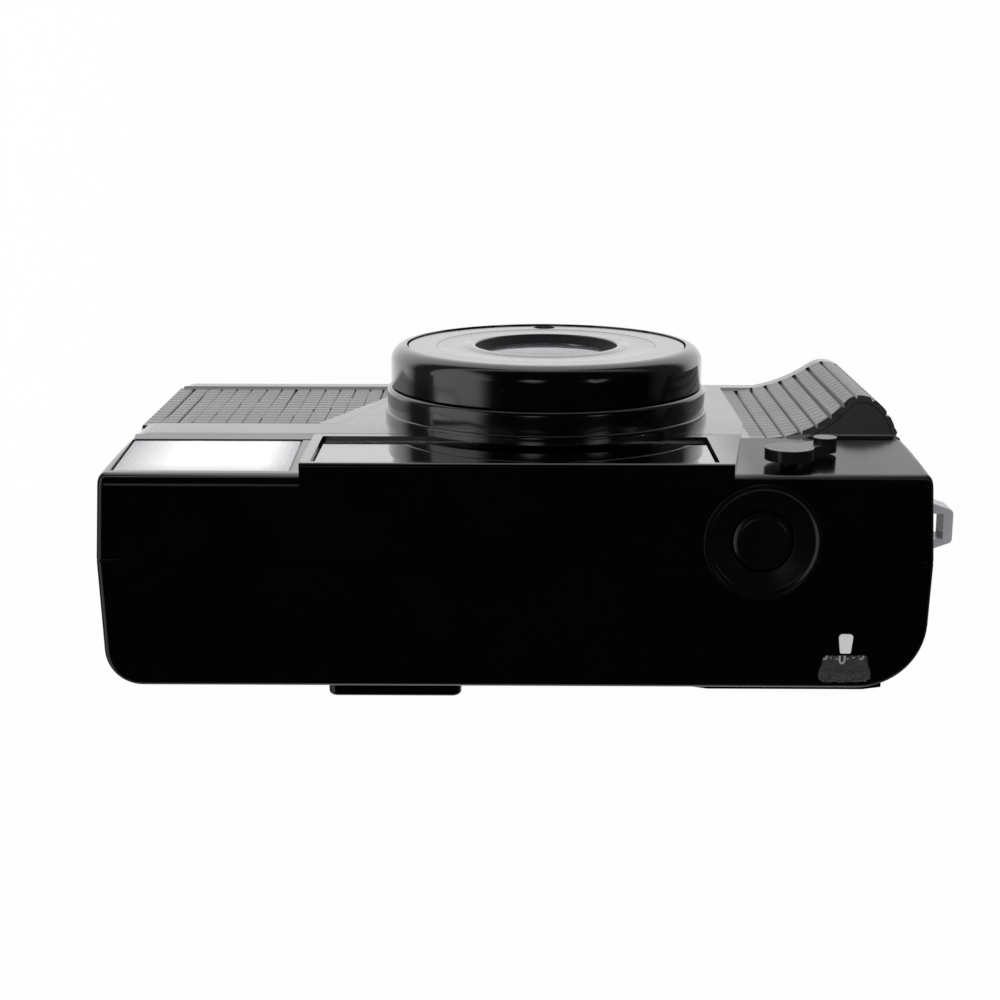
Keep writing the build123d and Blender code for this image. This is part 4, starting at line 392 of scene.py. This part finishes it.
SATIN = rgb(0.008, 0.007, 0.009)
DEEP_SATIN = rgb(0.004, 0.004, 0.005)
# body_black and rib_black carry painted shade on the grip's sloping end
body_black = moulded("satin_black", SATIN, 0.28, 0.35 * MM, 0.008 * MM, painted_shade=on_grip_slope,
                     Coat_Weight=1.0, Coat_Roughness=0.15)
strip_black = moulded("strip_black", SATIN, 0.28, 0.35 * MM, 0.004 * MM,
                      IOR=1.9, Coat_Weight=1.0, Coat_Roughness=0.15, Coat_IOR=2.4)
top_black = top_finish()
rib_black = moulded("ribbed_black", SATIN, 0.36, 0.2 * MM, 0.008 * MM, painted_shade=on_grip_slope,
                    Coat_Weight=0.7, Coat_Roughness=0.25)
# flash_rib_black carries painted shade on the floors of its upright grooves
flash_rib_black = moulded("flash_ribbed_black", SATIN, 0.36, 0.2 * MM, 0.008 * MM,
                          painted_shade=in_upright_groove, Coat_Weight=0.8, Coat_Roughness=0.25)
lens_black = moulded("barrel_black", rgb(0.0006, 0.0006, 0.0008), 0.16, 0.3 * MM, 0.002 * MM,
                     dust=0.001, IOR=1.6, Coat_Weight=0.6, Coat_Roughness=0.08, Coat_IOR=1.7)
face_black = moulded("lens_face_black", SATIN, 0.26, 0.3 * MM, 0.005 * MM,
                     IOR=1.55, Coat_Weight=1.0, Coat_Roughness=0.12, Coat_IOR=1.6)
lever_black = moulded("lever_black", DEEP_SATIN, 0.3, 0.3 * MM, 0.003 * MM,
                      IOR=1.35, Coat_Weight=0.3, Coat_Roughness=0.1, Coat_IOR=1.6)
seat_black = moulded("seat_black", DEEP_SATIN, 0.6, 0.25 * MM, 0.01 * MM, Specular_IOR_Level=0.04)
ring_black = moulded("surround_black", rgb(0.0008, 0.0008, 0.001), 0.24, 0.4 * MM, 0.003 * MM,
                     dust=0.0012)
inner_black = moulded("matte_black", rgb(0.01, 0.01, 0.01), 0.6, 0.25 * MM, 0.02 * MM)
dial_black = moulded("dial_black", rgb(0.0015, 0.0015, 0.002), 0.7, 0.2 * MM, 0.004 * MM,
                     dust=0.001, Specular_IOR_Level=0.08)
gear_white = moulded("gear_plastic", rgb(0.78, 0.76, 0.7), 0.35, 0.3 * MM, 0.004 * MM)
mark_white = moulded("white_inlay", rgb(0.5, 0.49, 0.5), 0.4, 0.2 * MM, 0.004 * MM)
lug_grey = moulded("grey_lug", rgb(0.3, 0.29, 0.31), 0.3, 0.3 * MM, 0.006 * MM, Coat_Weight=0.5)
board_green = moulded("board_green", rgb(0.02, 0.09, 0.04), 0.3, 0.4 * MM, 0.01 * MM,
                      Coat_Weight=0.5)
cell_wrap = moulded("cell_wrap", rgb(0.06, 0.065, 0.08), 0.25, 0.4 * MM, 0.003 * MM)
steel = bare_metal("steel", rgb(0.55, 0.56, 0.58), 0.28)
brass = bare_metal("brass", rgb(0.72, 0.55, 0.27), 0.26)
bright = bare_metal("bright_reflector", rgb(0.9, 0.9, 0.9), 0.12)
window_clear = clear("window_clear", rgb(0.82, 0.82, 0.84), IOR=1.49)
smoked_pane = clear("smoked_pane", rgb(0.3, 0.29, 0.31), 0.01, IOR=1.5,
                    Coat_Weight=1.0, Coat_Roughness=0.01, Coat_IOR=2.4)
lens_glass = clear("coated_glass", rgb(0.9, 0.86, 0.95), 0.0, IOR=1.7)
front_pane = clear("front_pane", rgb(0.55, 0.52, 0.6), 0.04, IOR=1.5, Specular_IOR_Level=0.06)
diffuser = flash_diffuser()

looks = {
    "body_black": body_black, "panel_black": rib_black, "lens_black": lens_black,
    "inner_black": inner_black, "gear_plastic": gear_white, "steel": steel,
    "lug_grey": lug_grey, "brass": brass, "button_black": top_black,
    "window_clear": window_clear, "lens_glass": lens_glass, "flash_white": diffuser,
    "mark_white": mark_white, "dial_black": dial_black, "reflector": bright,
    "cell_wrap": cell_wrap, "board_green": board_green, "motor_metal": steel,
    "plate_black": inner_black,
}
own_looks = {"top_cover": top_black, "eyepiece_frame": top_black, "timer_lever": lever_black,
             "lens_face": face_black, "window_strip": smoked_pane}
for part in frame["record"]["subparts"]:
    for slot in nodes[part["node"]].material_slots:
        slot.material = own_looks.get(part["node"], looks[part["material_slot"]])


# Pieces

def show(mesh, name, material, body, slot, *replaced):
    """Makes a finished bmesh into a piece that rides on a body."""
    data = bpy.data.meshes.new(name)
    mesh.to_mesh(data)
    mesh.free()
    data.materials.append(material)
    piece = bpy.data.objects.new(name, data)
    bpy.context.scene.collection.objects.link(piece)
    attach(piece, body)
    if replaced:
        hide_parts(*replaced)
    return piece


def shade(mesh, sharp_angle):
    """Smooth faces that meet at less than an angle in degrees, and crisp edges elsewhere."""
    for face in mesh.faces:
        face.smooth = True
    for edge in mesh.edges:
        edge.smooth = edge.calc_face_angle(0.0) < math.radians(sharp_angle)


def unit(axis):
    """A vector of length 1 along X, Y or Z, given as 0, 1 or 2."""
    return Vector([index == axis for index in range(3)])


def merged_copy(node):
    """A node's mesh as a bmesh, with the corners that lie together made one."""
    mesh = bmesh.new()
    mesh.from_mesh(nodes[node].data)
    bmesh.ops.remove_doubles(mesh, verts=mesh.verts, dist=2 * TOUCH)
    return mesh


def grooved(mesh, node, axis, grooves, margin=0.0):
    """Cuts fine grooves into the front of a node's copy, at an even pitch along one axis."""
    pitch, half, depth = grooves
    low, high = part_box(node)
    count = round((high[axis] - low[axis]) / pitch)
    even_pitch = (high[axis] - low[axis]) / count
    other = 2 - axis
    cuts = [(axis, low[axis] + step * even_pitch + offset)
            for step in range(1, count) for offset in (-half, 0.0, half)]
    if margin:
        cuts += [(other, low[other] + margin), (other, high[other] - margin)]
    for across, level in cuts:
        direction = unit(across)
        bmesh.ops.bisect_plane(mesh, geom=mesh.verts[:] + mesh.edges[:] + mesh.faces[:],
                               dist=0.1 * TOUCH, plane_co=direction * level, plane_no=direction)
    mesh.normal_update()
    sunk = []
    for vert in mesh.verts:
        steps = (vert.co[axis] - low[axis]) / even_pitch
        centred = abs(steps - round(steps)) * even_pitch < HAIR and 0 < round(steps) < count
        inside = low[other] + margin - TOUCH <= vert.co[other] <= high[other] - margin + TOUCH
        if centred and inside and vert.normal.dot(FRONT) > FACING:
            sunk.append((vert, vert.normal.copy()))
    for vert, normal in sunk:
        vert.co -= normal * depth
    shade(mesh, GROOVE_CREASE)
    return mesh


def flash_side_ribs():
    """The flash side panel, filled flat, with narrow upright grooves and fine steps across."""
    node = "left_ribbed_panel"
    mesh = merged_copy(node)
    for vert in mesh.verts:
        if vert.co.y < panel_high.y - 0.05 * MM:
            vert.co.y = PANEL_FRONT_Y
    grooved(mesh, node, 2, RIDGES)
    return grooved(mesh, node, 0, RIBS)


def grip_ribs():
    """The grip's skin with fine steps across its grooves."""
    return grooved(merged_copy("right_ribbed_panel"), "right_ribbed_panel", 2, RIDGES)


def fluted_flash_window():
    """The flash window with upright flutes inside a plain border."""
    return grooved(merged_copy("flash_window"), "flash_window", 0, FLUTES, FLUTE_MARGIN)


def turned(corners, centre, axis, sides):
    """A shape turned about an axis, from corners given as (radius, station, easing)."""
    mesh = bmesh.new()
    points = []
    for radius, station, ease in corners:
        place = centre + Vector((radius, 0.0, 0.0))
        place[axis] = station
        points.append((mesh.verts.new(place), ease))
    mesh.faces.new([point for point, ease in points])
    for point, ease in points:
        if ease:
            bmesh.ops.bevel(mesh, geom=[point], offset=ease, offset_type="OFFSET",
                            affect="VERTICES", segments=5, profile=0.5, material=-1)
    bmesh.ops.delete(mesh, geom=mesh.faces[:], context="FACES_ONLY")
    bmesh.ops.spin(mesh, geom=mesh.verts[:] + mesh.edges[:], cent=centre, axis=unit(axis),
                   angle=math.tau, steps=sides, use_merge=True)
    bmesh.ops.remove_doubles(mesh, verts=mesh.verts, dist=TOUCH)
    bmesh.ops.recalc_face_normals(mesh, faces=mesh.faces)
    shade(mesh, TURNED_CREASE)
    return mesh


def barrel_base():
    """Fixed ring at the foot of the lens: eased front edge, and a low collar on the plate."""
    return turned([
        (BARREL_BORE, PLATE_Y, 0), (COLLAR_RADIUS, PLATE_Y, 0),
        (COLLAR_RADIUS, COLLAR_Y, 0.5 * MM), (BARREL_RADIUS, COLLAR_Y, 0),
        (BARREL_RADIUS, BARREL_STEP_Y, 0.8 * MM), (RIM_RADIUS, BARREL_STEP_Y, 0),
        (RIM_RADIUS, RIM_Y, 0), (BARREL_BORE, RIM_Y, 0),
    ], LENS_AXIS, 1, BARREL_SIDES)


def face_dish():
    """Shallow dish over the face's two steps, with the funnel's lip a little forward."""
    outer, inner = STEP_RADII
    floor_y = FACE_Y + DISH_DEPTH
    lip_y = FACE_Y - LIP_RISE
    step_y = FACE_Y + FACE_STEP
    rear_y = FACE_Y + 2 * FACE_STEP
    return turned([
        (outer, step_y, 0), (outer, FACE_Y + 0.03 * MM, 0), (outer - 0.9 * MM, floor_y, 0),
        (inner + 0.4 * MM, floor_y, 0.2 * MM), (LIP_RADIUS + 1.0 * MM, lip_y, 0.25 * MM),
        (LIP_RADIUS, lip_y, 0.3 * MM), (LIP_RADIUS, rear_y, 0),
        (inner, rear_y, 0), (inner, step_y, 0),
    ], LENS_AXIS, 1, FACE_SIDES)


def funnel_lining():
    """Matt wall between the funnel's lip and the front glass."""
    rear_y = GLASS_Y + GLASS_THICKNESS + 0.2 * MM
    return turned([
        (LIP_RADIUS - SEAT_GAP, FACE_Y + 0.1 * MM, 0), (GLASS_RADIUS, GLASS_Y - 0.05 * MM, 0),
        (GLASS_RADIUS, rear_y, 0), (GLASS_RADIUS + 1.4 * MM, rear_y, 0),
        (LIP_RADIUS - 0.1 * MM, GLASS_Y, 0),
    ], LENS_AXIS, 1, GLASS_SIDES)


def front_glass():
    """Thin glass over the lens, slightly domed."""
    rear_y = GLASS_Y + GLASS_THICKNESS
    edge = GLASS_RADIUS - SEAT_GAP
    dome = [(edge * reach, GLASS_Y - GLASS_BULGE * rise, 0) for reach, rise in GLASS_DOME]
    return turned([(0, rear_y, 0), (edge, rear_y, 0), (edge, GLASS_Y, 0), *dome,
                   (0, GLASS_Y - GLASS_BULGE, 0)], LENS_AXIS, 1, GLASS_SIDES)


def button_surround():
    """Ring round the release button, with a lip and a dished floor."""
    low, top = ring_low.z, ring_high.z
    return turned([
        (SURROUND_BORE, low, 0), (SURROUND_RADIUS, low, 0),
        (SURROUND_RADIUS, top - 0.04 * MM, 0.1 * MM), (SURROUND_RADIUS - 0.6 * MM, top, 0.3 * MM),
        (SURROUND_RADIUS - 1.1 * MM, top - 0.5 * MM, 0.3 * MM),
        (SURROUND_BORE, low + 0.4 * MM, 0.12 * MM),
    ], BUTTON_AXIS, 2, BUTTON_SIDES)


def button_cap():
    """Release button with its flange and stem, soft at the edge and dished for the finger."""
    low, top = button_low.z, button_high.z
    flange_low = top - FLANGE_DEPTH - FLANGE_HALF
    flange_top = top - FLANGE_DEPTH + FLANGE_HALF
    return turned([
        (0, low, 0), (STEM_RADIUS, low, 0), (STEM_RADIUS, flange_low, 0),
        (FLANGE_RADIUS, flange_low, 0), (FLANGE_RADIUS, flange_top, 0),
        (BUTTON_RADIUS, flange_top, 0), (BUTTON_RADIUS, top - 0.5 * MM, 0.15 * MM),
        (BUTTON_RADIUS - 0.9 * MM, top, 0.4 * MM), (0, top - 0.45 * MM, 0),
    ], BUTTON_AXIS, 2, BUTTON_SIDES)


def strip_between(section, offset, mesh=None):
    """A bar from a section's corners, swept in a straight line to an offset."""
    mesh = mesh or bmesh.new()
    face = mesh.faces.new([mesh.verts.new(corner) for corner in section])
    far = bmesh.ops.extrude_face_region(mesh, geom=[face])["geom"]
    bmesh.ops.translate(mesh, verts=[item for item in far if isinstance(item, bmesh.types.BMVert)],
                        vec=offset)
    bmesh.ops.recalc_face_normals(mesh, faces=mesh.faces)
    return mesh


def plate_corner():
    """Wedge of the plate over the flash side panel's slanted edge."""
    lap = 0.15 * MM
    over = 0.2 * MM
    foot = PANEL_FOOT - Vector((0, HAIR, 0))
    head = foot + Vector((0, 0, PANEL_RISE + over))
    section = [foot - Vector((lap, 0, 0)), head + Vector((PANEL_SLANT - lap, 0, 0)),
               head + Vector((PLATE_SLANT, 0, 0)), foot]
    return strip_between(section, Vector((0, PANEL_DROP + over, 0)))


def panel_edge():
    """Sloping edge of the plate along the flash side panel's slant."""
    section = [PANEL_FOOT, PANEL_FOOT + Vector((EDGE_WIDTH, PANEL_DROP, 0)),
               PANEL_FOOT + Vector((0, PANEL_DROP, 0))]
    return strip_between(section, Vector((PLATE_SLANT, 0, PANEL_RISE)))


def plate_strip():
    """Strip that leads gently from the plate to the foot of the flash window."""
    gap = 0.05 * MM
    start = Vector((BLOCK_EDGE_X + gap, PLATE_Y + HAIR, COVER_TOP_Z))
    drop = SHELF_Y - PLATE_Y + gap
    section = [start, start + Vector((0, drop, STRIP_RISE)), start + Vector((0, drop, 0))]
    return strip_between(section, Vector((flash_high.x - start.x, 0, 0)))


def ledge_slopes():
    """Slopes from the base's front edge up to the feet of both ribbed panels."""
    mesh = bmesh.new()
    for start_x, end_x in LEDGE_SPANS:
        corner = Vector((start_x, PLATE_Y, PANEL_FOOT.z))
        section = [corner, corner + Vector((0, PANEL_DROP, 0)),
                   corner + Vector((0, PANEL_DROP, LEDGE_RISE))]
        strip_between(section, Vector((end_x - start_x, 0, 0)), mesh)
    return mesh


def exposure_numbers():
    """Numbers and dots on the counter's disc, read from behind the camera."""
    low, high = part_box("counter_disc")
    hub = Matrix.Translation(((low.x + high.x) / 2, (low.y + high.y) / 2, high.z))
    mesh = bmesh.new()
    for frame_number in range(COUNTER_FRAMES):
        turn = Matrix.Rotation(-math.tau * frame_number / COUNTER_FRAMES, 4, "Z")
        place = hub @ turn @ Matrix.Translation((0, NUMBER_RADIUS, 0))
        if frame_number % NUMBER_STEP or frame_number > LAST_NUMBER:
            bmesh.ops.create_cone(mesh, cap_ends=True, segments=DOT_SIDES, radius1=DOT_RADIUS,
                                  radius2=DOT_RADIUS, depth=2 * NUMBER_RISE, matrix=place)
            continue
        curve = bpy.data.curves.new("number", "FONT")
        curve.body = str(frame_number)
        curve.size = NUMBER_SIZE
        curve.offset = NUMBER_BOLDNESS
        curve.extrude = NUMBER_RISE
        curve.align_x = "CENTER"
        curve.align_y = "CENTER"
        letters = bpy.data.objects.new("number", curve)
        flat = bpy.data.meshes.new_from_object(letters)
        flat.transform(place @ Matrix.Rotation(math.pi, 4, "Z"))
        mesh.from_mesh(flat)
        bpy.data.objects.remove(letters)
        bpy.data.meshes.remove(flat)
    return mesh


show(flash_side_ribs(), "flash_side_ribs", flash_rib_black, "camera", "panel_black",
     "left_ribbed_panel")
show(grip_ribs(), "grip_ribs", rib_black, "camera", "panel_black", "right_ribbed_panel")
show(fluted_flash_window(), "fluted_flash_window", diffuser, "camera", "flash_white",
     "flash_window")
show(plate_corner(), "plate_corner", body_black, "camera", "body_black")
show(panel_edge(), "panel_edge", body_black, "camera", "body_black")
show(ledge_slopes(), "ledge_slopes", rib_black, "camera", "body_black")
show(plate_strip(), "plate_strip", strip_black, "camera", "body_black")
show(barrel_base(), "barrel_base", lens_black, "camera", "lens_black", "base_ring")
show(funnel_lining(), "funnel_lining", seat_black, "camera", "lens_black")
show(face_dish(), "face_dish", face_black, "camera", "lens_black")
show(front_glass(), "front_glass", front_pane, "camera", "lens_glass")
show(button_surround(), "button_surround", ring_black, "camera", "button_black", "button_ring")
show(button_cap(), "button_cap", ring_black, "button", "button_black", "release_button")
show(exposure_numbers(), "exposure_numbers", mark_white, "counter", "mark_white")
spring = show(merged_copy("pressure_spring"), "leaf_spring", steel, "back", "steel",
              "pressure_spring")
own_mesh(spring)


# Floor, light and camera

FLOOR_SIZE = 3.0
PAPER_GLOW = 0.97                      # share of the paper's look that is plain white
CARD_FLASH_SIDE = (0.125, 0.175)       # reflections of the paper darken over these two spans of X
CARD_GRIP_SIDE = (-0.08, -0.035)
CARD_DARK = 0.05
HORIZON_HEIGHT = 0.22                  # how far up reflections find a bright horizon
CEILING = 0.003
GRIP_SIDE_EDGE = (-0.9, -0.5)          # where the horizon dims on the grip side
GRIP_SIDE_LIGHT = 0.08
BOX_EDGE = (0.6, 0.75)                 # edges of the flash side's soft box
SPOTS = ((0.18, -0.15, 0.97), (0.745, -0.115, 0.652), (-0.58, -0.13, 0.80))
SPOT_EDGE = (0.985, 0.997)
MIRRORED = 0.8                         # strength of what reflections find
AMBIENT = 0.36                         # strength of the light on matt surfaces
LAMPS = (("front_lamp", (-0.5, -0.9, 0.5), 0.7, 9.0),
         ("flash_side_lamp", (0.95, -0.35, 0.45), 0.5, 5.0),
         ("back_lamp", (0.2, 1.0, 0.5), 0.7, 6.0))
LAMP_AIM = Vector((0.04, 0.0, 0.035))
FOCAL_LENGTH = 65.64
SENSOR_WIDTH = 36.0
VIEW_START = 0.01
VIEW_PLACE = Vector((44.2, -78.48, 350.5)) * MM
VIEW_DIRECTION = Vector((0.0073, 0.2309, -0.9729))
VIEW_ROLL = -0.0016


def make_floor():
    """White paper under the upright camera, dark in reflections beyond its two sides."""
    grid = bmesh.new()
    bmesh.ops.create_grid(grid, x_segments=1, y_segments=1, size=FLOOR_SIZE)
    mesh = bpy.data.meshes.new("floor")
    grid.to_mesh(mesh)
    grid.free()
    floor = bpy.data.objects.new("floor", mesh)
    bpy.context.scene.collection.objects.link(floor)
    paper = Finish("floor_paper", Base_Color=rgb(0.86, 0.86, 0.86), Roughness=0.8)
    across = paper.split(paper.place())
    card = (paper.ramp(across, *CARD_FLASH_SIDE, 1.0, CARD_DARK)
            * paper.ramp(across, *CARD_GRIP_SIDE, CARD_DARK, 1.0))
    ray = paper.node("ShaderNodeLightPath", output="Is Camera Ray")
    glossy = ray.other("Is Glossy Ray")
    shown = ray.most(ray.other("Is Transmission Ray")).most(glossy)
    paper.blend(PAPER_GLOW * shown, paper.node("ShaderNodeEmission", inputs={
        "Color": rgb(1, 1, 1), "Strength": 1 - glossy * (1 - card)}))
    mesh.materials.append(paper.material)


def light_the_room():
    """White to the view; reflections find a dark ceiling, a dim grip side and a soft box."""
    world = bpy.data.worlds.new("room")
    bpy.context.scene.world = world
    world.use_nodes = True
    room = Graph(world.node_tree)
    room.tree.nodes.clear()
    toward = room.node("ShaderNodeTexCoord", output="Generated")
    x = room.split(toward)
    z = x.other("Z")
    horizon = (room.ramp(z, 0.0, HORIZON_HEIGHT, 1.0, CEILING)
               * room.ramp(x, *GRIP_SIDE_EDGE, GRIP_SIDE_LIGHT, 1.0))
    soft_box = room.ramp(x, *BOX_EDGE, 0.0, 1.0) * room.ramp(z, *BOX_EDGE, 1.0, 0.0)
    spots = 0.0
    for direction in SPOTS:
        spots = room.ramp(room.dot(toward, direction), *SPOT_EDGE, 0.0, 1.0) + spots
    ray = room.node("ShaderNodeLightPath", output="Is Camera Ray")
    seen = ray.most(ray.other("Is Transmission Ray"))
    glossy = ray.other("Is Glossy Ray")
    strength = seen.most(glossy * MIRRORED * horizon.most(soft_box).most(spots)
                         + (1 - glossy) * (1 - seen) * AMBIENT)
    shell = room.node("ShaderNodeBackground", inputs={
        "Color": rgb(1, 1, 1), "Strength": strength})
    output = room.tree.nodes.new("ShaderNodeOutputWorld")
    room.tree.links.new(shell.socket, output.inputs[0])


def add_lamp(name, place, size, power):
    """Soft square lamp that points at the middle of the camera."""
    data = bpy.data.lights.new(name, "AREA")
    data.size = size
    data.energy = power
    lamp = bpy.data.objects.new(name, data)
    lamp.location = place
    lamp.visible_glossy = False
    lamp.rotation_euler = (LAMP_AIM - Vector(place)).to_track_quat("-Z", "Y").to_euler()
    bpy.context.scene.collection.objects.link(lamp)


def set_camera():
    """Looks down on the top from in front of it, as the photograph does."""
    data = bpy.data.cameras.new("view")
    data.lens = FOCAL_LENGTH
    data.sensor_width = SENSOR_WIDTH
    data.clip_start = VIEW_START
    view = bpy.data.objects.new("view", data)
    forward = VIEW_DIRECTION.normalized()
    level = forward.cross(Vector((0.0, -1.0, 0.0))).normalized()
    right = Matrix.Rotation(VIEW_ROLL, 3, forward) @ level
    turn = Matrix((right, right.cross(forward), -forward)).transposed()
    view.matrix_world = Matrix.Translation(VIEW_PLACE) @ turn.to_4x4()
    bpy.context.scene.collection.objects.link(view)
    bpy.context.scene.camera = view


make_floor()
light_the_room()
for lamp_row in LAMPS:
    add_lamp(*lamp_row)
set_camera()

bpy.context.scene.view_settings.view_transform = "Standard"
